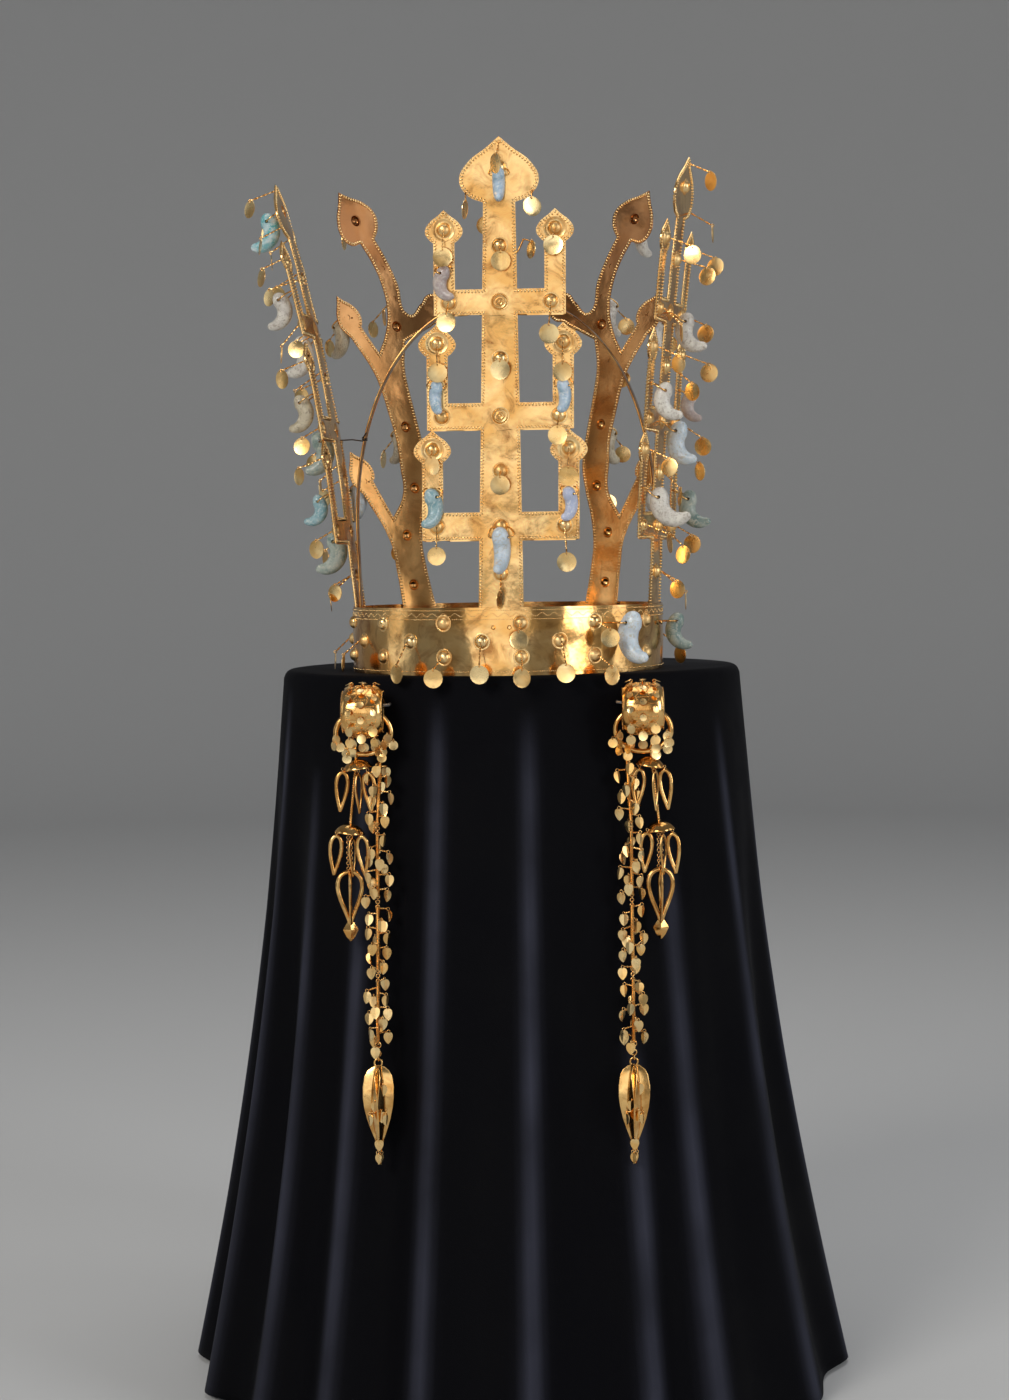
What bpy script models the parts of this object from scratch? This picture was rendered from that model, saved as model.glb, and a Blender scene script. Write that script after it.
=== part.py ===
"""A gold crown with jade commas and gold spangles, standing on a round plinth that is draped in velvet.

Metres, +Z up. The origin is the middle of the plinth's foot, and the crown's front faces -Y.
"""

import math
from collections import namedtuple

import bmesh
import bpy
from mathutils import Matrix, Vector

# The gap that two separate pieces keep where they meet.
GAP = 0.0003

# Stand: a round plinth under a velvet cloth.
STAND_HEIGHT = 0.440
STAND_RADIUS = 0.142
CLOTH_WALL = 0.002
CLOTH_CORNER = 0.005
CLOTH_FLARE = 0.150
HEM_CLEARANCE = 0.003
FOLD_DEPTH = 0.009
PLINTH_SIDES = 32

# Headband: a plain gold strip closed to a ring.
BAND_RADIUS = 0.094
BAND_HEIGHT = 0.039
BAND_WALL = 0.0008
BAND_SIDES = 56

# Gold sheet of the uprights, and the knobs punched in it.
SHEET = 0.0008
KNOB_RADIUS = 0.0038
KNOB_TOP_RADIUS = 0.0017
KNOB_HEIGHT = 0.0026
KNOB_SIDES = 5

# Tree upright: a trunk with three pairs of square arms, and a bud on every end.
TRUNK_FOOT_WIDTH = 0.0258
TRUNK_TOP_WIDTH = 0.0180
BUD_NECK_HEIGHT = 0.266
BUD_HEIGHT = 0.036
BUD_WIDTH = 0.0445
RISER_WIDTH = 0.0120
ARM_KNOB_INSET = 0.0024
SIDE_BUD_WIDTH = 0.0212
SIDE_BUD_HEIGHT = 0.0182
ARM_HEIGHT = 0.0158
ARM_REACH = 0.0447
RISER_LENGTH = 0.0285
# Each pair of arms: its underside as a share of the trunk, and shares of the three sizes above.
Tier = namedtuple("Tier", "bottom bar reach riser")
TIER_SHARES = ((0.291, 1.00, 1.00, 1.00), (0.526, 0.95, 0.93, 0.92), (0.767, 0.90, 0.83, 0.905))
TIERS = tuple(
    Tier(low * BUD_NECK_HEIGHT, bar * ARM_HEIGHT, reach * ARM_REACH, riser * RISER_LENGTH)
    for low, bar, reach, riser in TIER_SHARES
)

# Antler upright: a swaying trunk with two outer tines and one inner tine.
ANTLER_HEIGHT = 0.301
ANTLER_SPREAD = 0.050
ANTLER_FOOT_WIDTH = 0.0260
ANTLER_BUD_WIDTH = 0.0350
TINE_BUD_WIDTH = 0.0200

# Spangle: a round gold leaf on a stiff twisted wire.
SPANGLE_RADIUS = 0.0055
SPANGLE_THICKNESS = 0.0006
WIRE_RADIUS = 0.00055
SPANGLE_REACH = 0.010

# Jade comma, drilled through its head for a gold wire.
JADE_LENGTH = 0.026
JADE_HOLE_RADIUS = 0.0012
JADE_SIDES = 6
JADE_BACK_CLEARANCE = 0.0012

# Inner straps that cross over the head, and the spray of gold leaves on the crossing.
STRAP_WIDTH = 0.0070
STRAP_THICKNESS = 0.0008
STRAP_RISE = 0.224
STRAP_HIP_HEIGHT = 0.088
STRAP_HIP_OUT = 0.0014
SPRAY_HEIGHT = 0.046

# Staple that clamps an upright to the headband.
STAPLE_SPREAD = 0.0092
STAPLE_WIRE = 0.0006
STAPLE_HOLE = 0.0011
STAPLE_HEIGHT = 0.0275

# Pendants: a thick hollow ring, a slim ring through it, and two strands.
PENDANT_OUT = 0.080
PENDANT_DROP = 0.0045
THICK_RING_RADIUS = 0.0150
THICK_RING_HOLE = 0.0048
THICK_RING_WIDTH = 0.0245
THICK_RING_OFF = 0.0056
SLIM_RING_WIDTH = 0.0350
SLIM_RING_HEIGHT = 0.0283
SLIM_RING_WIRE = 0.0016
LOOP_RADIUS = 0.0035
LOOP_WIRE = 0.0007
LOOP_SAG = 0.0003
CANOPY_RADIUS = 0.0088
CANOPY_HEIGHT = 0.0060
CHAIN_RADIUS = 0.0014
UPPER_CHAIN = 0.0305
LOWER_CHAIN = 0.0215
DROP_LENGTH = 0.0235
DROP_WIDTH = 0.0085
DROP_WIRE = 0.0009
CAGE_LENGTH = 0.0400
CAGE_WIDTH = 0.0165
CAGE_BAR = 0.0012
STEM_RADIUS = 0.0013
STEM_LENGTH = 0.0365
STEM_LINK = 0.0050
STEM_COUNT = 4
LEAF_LENGTH = 0.0470
LEAF_WIDTH = 0.0145
LEAF_THICKNESS = 0.0009
PIN_RADIUS = 0.0008

DOWN = Vector((0, 0, -1))
UP = Vector((0, 0, 1))
CROWN_CENTRE = Vector((0, BAND_RADIUS - STAND_RADIUS, STAND_HEIGHT + GAP))

# Azimuth, outward lean at foot and top, sideways lean, all in degrees, and -1 for a mirrored sheet.
Upright = namedtuple("Upright", "name azimuth lean_foot lean_top sway mirror")
UPRIGHTS = {
    "front": Upright("tree_front", 0, 2, 8, 0.7, 1),
    "left": Upright("tree_left", -97, 4, 17, 0, 1),
    "right": Upright("tree_right", 75, 1, 9, 0, 1),
    "antler_left": Upright("antler_left", -140, 3, 11, 2, 1),
    "antler_right": Upright("antler_right", 142, 3, 11, 2, -1),
}
# The left tree's back arms bend out and the antlers' tines bend in, so that they pass each other.
WRAP_END = 1.6 * BAND_HEIGHT
BACK_ARM_BEND = 0.012
TINE_BEND = 0.004


def material(name, colour, roughness, metallic):
    made = bpy.data.materials.new(name)
    made.use_nodes = True
    shader = made.node_tree.nodes["Principled BSDF"]
    shader.inputs["Base Color"].default_value = (*colour, 1)
    shader.inputs["Roughness"].default_value = roughness
    shader.inputs["Metallic"].default_value = metallic
    made.diffuse_color = (*colour, 1)
    return made


def node(name, mesh, finish, place=None):
    """One named piece, shaded smooth up to a crease of 40 degrees."""
    mesh.materials.clear()
    mesh.materials.append(finish)
    mesh.shade_smooth()
    mesh.set_sharp_from_angle(angle=math.radians(40))
    made = bpy.data.objects.new(name, mesh)
    bpy.context.scene.collection.objects.link(made)
    if place is not None:
        made.matrix_world = place
    return made


def mesh_of(shape, name="mesh"):
    bmesh.ops.recalc_face_normals(shape, faces=shape.faces)
    made = bpy.data.meshes.new(name)
    shape.to_mesh(made)
    shape.free()
    return made


def loft(rings, closed=False):
    """A skin over rings with equal numbers of points, capped at both ends unless it closes on itself."""
    shape = bmesh.new()
    loops = [[shape.verts.new(point) for point in ring] for ring in rings]
    count = len(loops[0])
    pairs = list(zip(loops, loops[1:] + (loops[:1] if closed else [])))
    for low, high in pairs:
        for i in range(count):
            j = (i + 1) % count
            shape.faces.new((low[i], low[j], high[j], high[i]))
    if not closed:
        shape.faces.new(reversed(loops[0]))
        shape.faces.new(loops[-1])
    return shape


def ring(centre, across, up, width, height, sides, turn=0.5):
    """Points of an ellipse round centre, in the plane of across and up."""
    points = []
    for i in range(sides):
        angle = 2 * math.pi * (i + turn) / sides
        points.append(centre + across * (width * math.cos(angle)) + up * (height * math.sin(angle)))
    return points


def tube(points, radii, sides, closed=False, side_hint=UP):
    """A round bar along points. One radius serves the whole bar, or each point has its own."""
    points = [Vector(point) for point in points]
    if not hasattr(radii, "__len__"):
        radii = [radii] * len(points)
    count = len(points)
    rings = []
    for i, point in enumerate(points):
        if closed:
            before, after = points[i - 1], points[(i + 1) % count]
        else:
            before, after = points[max(i - 1, 0)], points[min(i + 1, count - 1)]
        along = (after - before).normalized()
        hint = side_hint - along * side_hint.dot(along)
        across = hint.normalized()
        rings.append(ring(point, across, along.cross(across), radii[i], radii[i], sides))
    return loft(rings, closed)


def fuse(base, parts):
    """The union of closed shapes, as a new mesh."""
    helpers = bpy.data.collections.new("helpers")
    bpy.context.scene.collection.children.link(helpers)
    body = bpy.data.objects.new("body", mesh_of(base))
    bpy.context.scene.collection.objects.link(body)
    for part in parts:
        helper = bpy.data.objects.new("helper", mesh_of(part))
        helper.hide_render = True
        helper.display_type = "WIRE"
        helpers.objects.link(helper)
    union = body.modifiers.new("union", "BOOLEAN")
    union.operation = "UNION"
    union.operand_type = "COLLECTION"
    union.collection = helpers
    union.solver = "EXACT"
    fused = applied(body)
    for helper in list(helpers.objects):
        bpy.data.objects.remove(helper)
    bpy.data.collections.remove(helpers)
    return fused


def applied(body):
    """The mesh of an object with its modifiers applied. The object itself is removed."""
    bpy.context.view_layer.update()
    graph = bpy.context.evaluated_depsgraph_get()
    made = bpy.data.meshes.new_from_object(body.evaluated_get(graph))
    bpy.data.objects.remove(body)
    return made


def cut(mesh, cutters):
    """The mesh with closed shapes cut out of it."""
    body = bpy.data.objects.new("body", mesh)
    bpy.context.scene.collection.objects.link(body)
    helpers = []
    for cutter in cutters:
        helper = bpy.data.objects.new("cutter", mesh_of(cutter))
        helper.hide_render = True
        helper.display_type = "WIRE"
        bpy.context.scene.collection.objects.link(helper)
        helpers.append(helper)
        drill = body.modifiers.new("drill", "BOOLEAN")
        drill.operation = "DIFFERENCE"
        drill.object = helper
        drill.solver = "EXACT"
    made = applied(body)
    for helper in helpers:
        bpy.data.objects.remove(helper)
    return made


# Where things stand on the headband and on an upright.


def outward(azimuth):
    """Level direction out of the crown, 0 degrees at the front and positive to its right in the picture."""
    angle = math.radians(azimuth)
    return Vector((math.sin(angle), -math.cos(angle), 0))


def sideways(azimuth):
    angle = math.radians(azimuth)
    return Vector((math.cos(angle), math.sin(angle), 0))


def sheet_place(upright, across, height, out=0.0):
    """A point of an upright's sheet, which follows the band's curve at its foot and leans out above it."""
    foot_radius = BAND_RADIUS - BAND_WALL - 1.7 * GAP - SHEET
    lean = math.radians(upright.lean_foot)
    bend = math.radians(upright.lean_top - upright.lean_foot) / (ANTLER_HEIGHT - BAND_HEIGHT)
    radius, rise, angle = foot_radius, height, 0.0
    if height > BAND_HEIGHT:
        angle = lean + bend * (height - BAND_HEIGHT)
        radius += (math.cos(lean) - math.cos(angle)) / bend
        rise = BAND_HEIGHT + (math.sin(angle) - math.sin(lean)) / bend
    free = max(height - BAND_HEIGHT, 0)
    across += math.tan(math.radians(upright.sway)) * free
    if upright.name == "tree_left" and across < 0:
        out += BACK_ARM_BEND * min(free / BAND_HEIGHT, 1) * (across / TIERS[0].reach) ** 2
    if upright.name.startswith("antler"):
        out -= TINE_BEND * min(free / BAND_HEIGHT, 1) * (across / ANTLER_SPREAD) ** 2
    wrap = min(max((WRAP_END - height) / (WRAP_END - BAND_HEIGHT), 0), 1)
    out -= wrap * across * across / (2 * foot_radius)
    level = outward(upright.azimuth)
    normal = level * math.cos(angle) - UP * math.sin(angle)
    side = sideways(upright.azimuth) * across
    return CROWN_CENTRE + level * radius + UP * rise + side + normal * out


def sheet_normal(upright, across, height):
    return (sheet_place(upright, across, height, 0.01) - sheet_place(upright, across, height)).normalized()


def band_place(azimuth, height, out=0.0):
    return CROWN_CENTRE + outward(azimuth) * (BAND_RADIUS + out) + UP * height


# Small gold work: knobs, spangles on their wires, and the wires that hold the jades.


def knob(foot, normal):
    across = normal.cross(UP).normalized() if abs(normal.z) < 0.9 else Vector((1, 0, 0))
    up = normal.cross(across)
    low = foot - normal * (SHEET / 2)
    high = foot + normal * KNOB_HEIGHT
    return loft([
        ring(low, across, up, KNOB_RADIUS, KNOB_RADIUS, KNOB_SIDES),
        ring(high, across, up, KNOB_TOP_RADIUS, KNOB_TOP_RADIUS, KNOB_SIDES),
    ])


# A spangle's outline from its eye down: share of its diameter, and share of its radius.
SPANGLE_OUTLINE = ((0.45, 1.10), (1.00, 0.55))


def spangle(start, level, reach, droop, turn):
    """A wire that runs out and down from start, ending in a disc that hangs plumb. turn swings the disc."""
    side = level.cross(UP)
    swing = Matrix.Rotation(math.radians(turn), 3, "Z")
    flat, face = swing @ side, swing @ level
    eye = start + level * reach - UP * droop
    along = (eye - start).normalized()
    rings = [
        ring(start, side, along.cross(side), WIRE_RADIUS, WIRE_RADIUS, 4),
        ring(eye, side, (along.cross(side) - level).normalized(), WIRE_RADIUS, WIRE_RADIUS, 4),
    ]
    corner = math.sqrt(0.5)
    for down, wide in SPANGLE_OUTLINE:
        centre = eye + DOWN * (WIRE_RADIUS + down * 2 * SPANGLE_RADIUS)
        width = wide * SPANGLE_RADIUS / corner
        thick = SPANGLE_THICKNESS / 2 / corner
        rings.append(ring(centre, flat, -face, width, thick, 4))
    return loft(rings)


# A jade comma's sections from past its head to its tail: share of the spine, and radius as a share of its length.
JADE_SECTIONS = ((-0.17, 0.11), (-0.04, 0.215), (0.28, 0.215), (0.68, 0.165), (1.00, 0.065))
JADE_BEND = 0.386
JADE_HEAD_ANGLE = 50
JADE_TAIL_ANGLE = -95
JADE_BACK = 0.345
JADE_DROP = 0.25


def jade_mesh(length):
    """A comma whose drilled head is at its origin. It bends in the XZ plane, hollow towards +X."""
    bend = JADE_BEND * length
    head = math.radians(JADE_HEAD_ANGLE)
    sweep = math.radians(JADE_TAIL_ANGLE) - head
    centre = Vector((bend * math.cos(head), 0, -bend * math.sin(head)))
    rings = []
    for share, thickness in JADE_SECTIONS:
        angle = head + sweep * share
        away = Vector((-math.cos(angle), 0, math.sin(angle)))
        radius = thickness * length
        rings.append(ring(centre + away * bend, away, Vector((0, 1, 0)), radius, 0.85 * radius, JADE_SIDES))
    reach = Vector((0, 0.5 * length, 0))
    hole = tube([-reach, reach], JADE_HOLE_RADIUS, 6)
    return cut(mesh_of(loft(rings)), [hole])


def jade_wire(foot, level, side, standoff, drop, length):
    """A wire that comes out of the sheet beside the head, turns, and runs through the drilled hole."""
    half = 0.85 * 0.22 * length + 0.0014
    inside = foot + side * half - level * (SHEET / 2)
    corner = foot + side * half + level * standoff - UP * drop
    end = foot - side * half + level * standoff - UP * drop
    bend = 2 * WIRE_RADIUS
    points = [inside, corner - level * bend, corner - side * bend, end]
    return tube(points, WIRE_RADIUS, 4)


JADE_MESHES = {}


def hang_jade(name, foot, level, length, tilt, drop, finish, hand=1):
    """Places a jade in front of foot and gives back its wire, which starts on the side that hand names."""
    if length not in JADE_MESHES:
        JADE_MESHES[length] = jade_mesh(length)
    standoff = JADE_BACK * length + JADE_BACK_CLEARANCE
    axes = Matrix((level, UP.cross(level), UP)).transposed()
    turned = axes @ Matrix.Rotation(math.radians(-tilt), 3, "Y")
    place = Matrix.Translation(foot + level * standoff - UP * drop) @ turned.to_4x4()
    node(name, JADE_MESHES[length].copy(), finish, place)
    return jade_wire(foot, level, level.cross(UP) * hand, standoff, drop, length)


# Sheet outlines, as points across and up.

# A bud's outline from its neck to its point: share of its height, and share of its half width.
BUD_OUTLINE = ((0.10, 0.78), (0.36, 1.00), (0.62, 0.78), (0.83, 0.34))


def bud(near_neck, far_neck, tip, half_width):
    """The points of a pointed bud, from one side of its neck round its tip to the other side."""
    near_neck, far_neck, tip = Vector(near_neck), Vector(far_neck), Vector(tip)
    middle = (near_neck + far_neck) / 2
    axis = tip - middle
    side = Vector((axis.y, -axis.x)).normalized() * half_width
    if side.dot(near_neck - middle) < 0:
        side = -side
    rising = [middle + axis * up + side * out for up, out in BUD_OUTLINE]
    falling = [middle + axis * up - side * out for up, out in reversed(BUD_OUTLINE)]
    return [near_neck, *rising, tip, *falling, far_neck]


def trunk_half(height):
    share = min(max((height - BAND_HEIGHT) / (BUD_NECK_HEIGHT - BAND_HEIGHT), 0), 1)
    return (TRUNK_FOOT_WIDTH + (TRUNK_TOP_WIDTH - TRUNK_FOOT_WIDTH) * share) / 2


def tree_outline():
    right = [Vector((trunk_half(0), 0)), Vector((trunk_half(0), BAND_HEIGHT))]
    for tier in TIERS:
        top = tier.bottom + tier.bar
        neck = top + tier.riser
        inner = tier.reach - RISER_WIDTH
        tip = ((tier.reach + inner) / 2, neck + SIDE_BUD_HEIGHT)
        right += [Vector((trunk_half(tier.bottom), tier.bottom)), Vector((tier.reach, tier.bottom))]
        right += bud((tier.reach, neck), (inner, neck), tip, SIDE_BUD_WIDTH / 2)
        right += [Vector((inner, top)), Vector((trunk_half(top), top))]
    half = trunk_half(BUD_NECK_HEIGHT)
    tip = (0, BUD_NECK_HEIGHT + BUD_HEIGHT)
    crown_bud = bud((half, BUD_NECK_HEIGHT), (-half, BUD_NECK_HEIGHT), tip, BUD_WIDTH / 2)
    left = [Vector((-point.x, point.y)) for point in reversed(right)]
    return right + crown_bud + left


# The antler's edges: share of its height, and share of its spread, outwards positive.
ANTLER_OUTER_FOOT = ((0.209, 0.31),)
LOWER_TINE = ((0.262, 0.37), (0.359, 0.74), (0.389, 0.57), (0.312, 0.29), (0.447, 0.90))
ANTLER_OUTER_WAIST = ((0.362, 0.10), (0.419, 0.10), (0.475, 0.12), (0.532, 0.20), (0.585, 0.28))
UPPER_TINE = ((0.618, 0.36), (0.688, 0.66), (0.714, 0.48), (0.660, 0.24), (0.774, 0.82))
ANTLER_OUTER_NECK = ((0.701, 0.10), (0.751, 0.02), (0.807, 0.05), (0.857, 0.16))
ANTLER_TOP_BUD = ((0.894, 0.30), (0.907, 0.06), (1.000, 0.54))
ANTLER_INNER_NECK = ((0.864, -0.08), (0.814, -0.20))
INNER_TINE = ((0.748, -0.31), (0.773, -0.52), (0.722, -0.62), (0.688, -0.20), (0.790, -1.00))
ANTLER_INNER_WAIST = (
    (0.631, -0.14), (0.591, -0.16), (0.532, -0.22), (0.475, -0.28), (0.419, -0.32),
    (0.362, -0.26), (0.306, -0.17), (0.256, -0.13), (0.209, -0.16),
)


def antler_point(row):
    height, across = row
    return Vector((across * ANTLER_SPREAD, height * ANTLER_HEIGHT))


def tine(rows):
    """From the tine's first root along one edge, round its bud, and back to its second root."""
    root, neck, far_neck, far_root, tip = [antler_point(row) for row in rows]
    return [root, *bud(neck, far_neck, tip, TINE_BUD_WIDTH / 2), far_root]


def antler_outline():
    half = ANTLER_FOOT_WIDTH / 2
    neck, far_neck, tip = [antler_point(row) for row in ANTLER_TOP_BUD]
    points = [Vector((half, 0)), Vector((half, 0.9 * BAND_HEIGHT))]
    points += [antler_point(row) for row in ANTLER_OUTER_FOOT]
    points += tine(LOWER_TINE)
    points += [antler_point(row) for row in ANTLER_OUTER_WAIST]
    points += tine(UPPER_TINE)
    points += [antler_point(row) for row in ANTLER_OUTER_NECK]
    points += bud(neck, far_neck, tip, ANTLER_BUD_WIDTH / 2)
    points += [antler_point(row) for row in ANTLER_INNER_NECK]
    points += tine(INNER_TINE)
    points += [antler_point(row) for row in ANTLER_INNER_WAIST]
    points += [Vector((-half, 0.9 * BAND_HEIGHT)), Vector((-half, 0))]
    return points


SHEET_LEVELS = 4


def sheet_shape(upright, outline):
    """A flat outline, cut level at even heights so that it can bend, thickened and stood in its place."""
    shape = bmesh.new()
    shape.faces.new([shape.verts.new((point.x * upright.mirror, point.y, 0)) for point in outline])
    top = max(point.y for point in outline)
    heights = [BAND_HEIGHT, WRAP_END] + [
        WRAP_END + (top - WRAP_END) * (i + 0.6) / SHEET_LEVELS for i in range(SHEET_LEVELS)
    ]
    for height in heights:
        geometry = shape.verts[:] + shape.edges[:] + shape.faces[:]
        bmesh.ops.bisect_plane(shape, geom=geometry, dist=1e-5, plane_co=(0, height, 0), plane_no=(0, 1, 0))
    for across in (-0.5, 0, 0.5):
        foot = [face for face in shape.faces if face.calc_center_median().y < WRAP_END]
        edges = {edge for face in foot for edge in face.edges}
        corners = {corner for face in foot for corner in face.verts}
        place = (across * TRUNK_FOOT_WIDTH / 2, 0, 0)
        bmesh.ops.bisect_plane(
            shape, geom=[*corners, *edges, *foot], dist=1e-5, plane_co=place, plane_no=(1, 0, 0)
        )
    bmesh.ops.triangulate(shape, faces=shape.faces[:])
    front = bmesh.ops.extrude_face_region(shape, geom=shape.faces[:])["geom"]
    for vertex in front:
        if isinstance(vertex, bmesh.types.BMVert):
            vertex.co.z = SHEET
    for vertex in shape.verts:
        vertex.co = sheet_place(upright, vertex.co.x, vertex.co.y, vertex.co.z)
    return shape


def tree_stations():
    """Where knobs sit on a tree upright, across and up. n is the arm at -X of the flat sheet, f the other."""
    first, second, third = TIERS
    tops = [tier.bottom + tier.bar for tier in TIERS]
    middle = [tier.bottom + tier.bar / 2 for tier in TIERS]
    stations = {
        "bud": (0, BUD_NECK_HEIGHT + 0.52 * BUD_HEIGHT),
        "trunk_top": (0, (tops[2] + BUD_NECK_HEIGHT) / 2),
        "trunk_32": (0, (tops[1] + third.bottom) / 2),
        "trunk_21": (0, (tops[0] + second.bottom) / 2),
        "trunk_foot": (0, (BAND_HEIGHT + first.bottom) / 2),
    }
    for i, tier in enumerate(TIERS):
        column = tier.reach - RISER_WIDTH / 2
        neck = tops[i] + tier.riser
        stations[f"cross_{i + 1}"] = (0, middle[i])
        for side, sign in (("n", -1), ("f", 1)):
            stations[f"arm_{i + 1}{side}"] = (sign * (column - ARM_KNOB_INSET), middle[i])
            stations[f"bud_{i + 1}{side}"] = (sign * column, neck + 0.40 * SIDE_BUD_HEIGHT)
            stations[f"riser_{i + 1}{side}"] = (sign * column, tops[i] + tier.riser / 2)
    return stations


def rim_stations():
    """Where a spangle's wire is tied to the edge of the top bud."""
    half = 0.84 * BUD_WIDTH / 2
    low = BUD_NECK_HEIGHT + 0.17 * BUD_HEIGHT
    high = BUD_NECK_HEIGHT + 0.90 * BUD_HEIGHT
    return {"rim_n": (-half, low), "rim_f": (half, low), "rim_top": (0, high)}


# Where knobs sit on an antler's trunk, as shares of its height.
ANTLER_KNOB_HEIGHTS = {
    "neck_top": 0.845,
    "neck": 0.780,
    "fork": 0.720,
    "mid": 0.640,
    "waist_top": 0.505,
    "waist": 0.450,
    "waist_low": 0.375,
    "knee": 0.275,
    "foot": 0.170,
}


# Where the knob of each antler bud sits, as a share of the way from its neck to its tip.
BUD_KNOB_SHARE = {"lower_bud": 0.18, "upper_bud": 0.42, "inner_bud": 0.42, "bud": 0.42}


def edge_at(rows, height):
    """How far across an edge of the antler is at a share of its height."""
    rows = sorted(rows)
    for (low, start), (high, end) in zip(rows, rows[1:]):
        if low <= height <= high:
            return start + (end - start) * (height - low) / (high - low)
    return rows[-1][1]


def antler_stations():
    """Knobs up the middle of the trunk, and one in every bud."""
    foot = ANTLER_FOOT_WIDTH / 2 / ANTLER_SPREAD
    outer = [(0.0, foot), *ANTLER_OUTER_FOOT, LOWER_TINE[0], LOWER_TINE[3], *ANTLER_OUTER_WAIST]
    outer += [UPPER_TINE[0], UPPER_TINE[3], *ANTLER_OUTER_NECK]
    inner = [(0.0, -foot), *ANTLER_INNER_WAIST, INNER_TINE[3], INNER_TINE[0], *ANTLER_INNER_NECK]
    stations = {}
    for name, height in ANTLER_KNOB_HEIGHTS.items():
        across = (edge_at(outer, height) + edge_at(inner, height)) / 2
        stations[name] = antler_point((height, across))
    buds = {
        "lower_bud": (LOWER_TINE[1], LOWER_TINE[2], LOWER_TINE[4]),
        "upper_bud": (UPPER_TINE[1], UPPER_TINE[2], UPPER_TINE[4]),
        "inner_bud": (INNER_TINE[1], INNER_TINE[2], INNER_TINE[4]),
        "bud": ANTLER_TOP_BUD,
    }
    for name, rows in buds.items():
        neck, far_neck, tip = [antler_point(row) for row in rows]
        stations[name] = ((neck + far_neck) / 2).lerp(tip, BUD_KNOB_SHARE[name])
    return stations


# What hangs where: size is a share of JADE_LENGTH or SPANGLE_REACH, and turn swings or tilts it.
Hanging = namedtuple("Hanging", "station kind size turn")
FRONT_HANGINGS = (
    Hanging("bud", "jade", 0.73, 0),
    Hanging("riser_3n", "jade", 0.73, 0),
    Hanging("riser_2n", "jade", 0.73, 0),
    Hanging("riser_2f", "jade", 0.73, 0),
    Hanging("riser_1n", "jade", 0.85, 0),
    Hanging("riser_1f", "jade", 0.73, 0),
    Hanging("cross_1", "jade", 1.00, 0),
    Hanging("rim_n", "spangle", 1.00, 80),
    Hanging("rim_f", "spangle", 1.00, 20),
    Hanging("rim_top", "spangle", 1.30, 60),
    Hanging("trunk_top", "spangle", 0.90, 10),
    Hanging("trunk_32", "spangle", 0.90, -10),
    Hanging("trunk_21", "spangle", 0.90, 5),
    Hanging("trunk_foot", "spangle", 1.40, 60),
    Hanging("bud_3n", "spangle", 0.90, 0),
    Hanging("bud_3f", "spangle", 0.90, 0),
    Hanging("arm_3n", "spangle", 0.90, -10),
    Hanging("arm_3f", "spangle", 0.90, 10),
    Hanging("bud_2n", "spangle", 1.10, 0),
    Hanging("bud_2f", "spangle", 1.10, 0),
    Hanging("arm_2f", "spangle", 0.80, 0),
    Hanging("bud_1n", "spangle", 1.10, 50),
    Hanging("bud_1f", "spangle", 1.10, 0),
    Hanging("arm_1n", "spangle", 0.90, 0),
    Hanging("arm_1f", "spangle", 0.90, 0),
)
LEFT_HANGINGS = (
    Hanging("bud", "jade", 0.92, 10),
    Hanging("riser_3f", "jade", 0.85, 0),
    Hanging("arm_3n", "jade", 1.00, 8),
    Hanging("riser_2f", "jade", 0.85, 0),
    Hanging("cross_2", "jade", 1.00, 0),
    Hanging("riser_1f", "jade", 0.73, 12),
    Hanging("cross_1", "jade", 1.00, 10),
    Hanging("rim_top", "spangle", 1.60, 50),
    Hanging("trunk_top", "spangle", 2.00, 60),
    Hanging("rim_f", "spangle", 1.20, 30),
    Hanging("bud_3f", "spangle", 1.40, 40),
    Hanging("trunk_32", "spangle", 1.40, 70),
    Hanging("bud_2f", "spangle", 1.60, 60),
    Hanging("arm_2f", "spangle", 1.20, 80),
    Hanging("trunk_21", "spangle", 1.20, 60),
    Hanging("bud_1f", "spangle", 1.60, 40),
    Hanging("arm_1f", "spangle", 1.20, 70),
    Hanging("trunk_foot", "spangle", 1.20, 60),
)
RIGHT_HANGINGS = (
    Hanging("cross_3", "jade", 0.92, 14),
    Hanging("riser_2n", "jade", 0.85, 10),
    Hanging("riser_2f", "jade", 0.73, 0),
    Hanging("cross_2", "jade", 1.00, 8),
    Hanging("riser_1n", "jade", 1.00, 34),
    Hanging("riser_1f", "jade", 0.92, 18),
    Hanging("rim_top", "spangle", 1.20, 50),
    Hanging("trunk_top", "spangle", 1.80, 70),
    Hanging("bud_3n", "spangle", 1.50, 80),
    Hanging("bud_3f", "spangle", 1.50, 80),
    Hanging("arm_3f", "spangle", 1.40, 70),
    Hanging("bud_2n", "spangle", 1.40, 60),
    Hanging("bud_2f", "spangle", 1.60, 80),
    Hanging("bud_1n", "spangle", 1.40, 70),
    Hanging("bud_1f", "spangle", 1.40, 50),
    Hanging("arm_1n", "spangle", 1.50, 30),
    Hanging("arm_1f", "spangle", 1.20, 80),
    Hanging("trunk_foot", "spangle", 1.20, 80),
)
ANTLER_LEFT_HANGINGS = (
    Hanging("upper_bud", "jade", 0.92, 0),
    Hanging("waist_top", "jade", 0.85, 0),
    Hanging("lower_bud", "jade", 0.92, 0),
    Hanging("bud", "spangle", 1.20, 40),
    Hanging("neck", "spangle", 1.00, 60),
    Hanging("mid", "spangle", 1.00, 30),
    Hanging("knee", "spangle", 1.00, 0),
)
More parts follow.
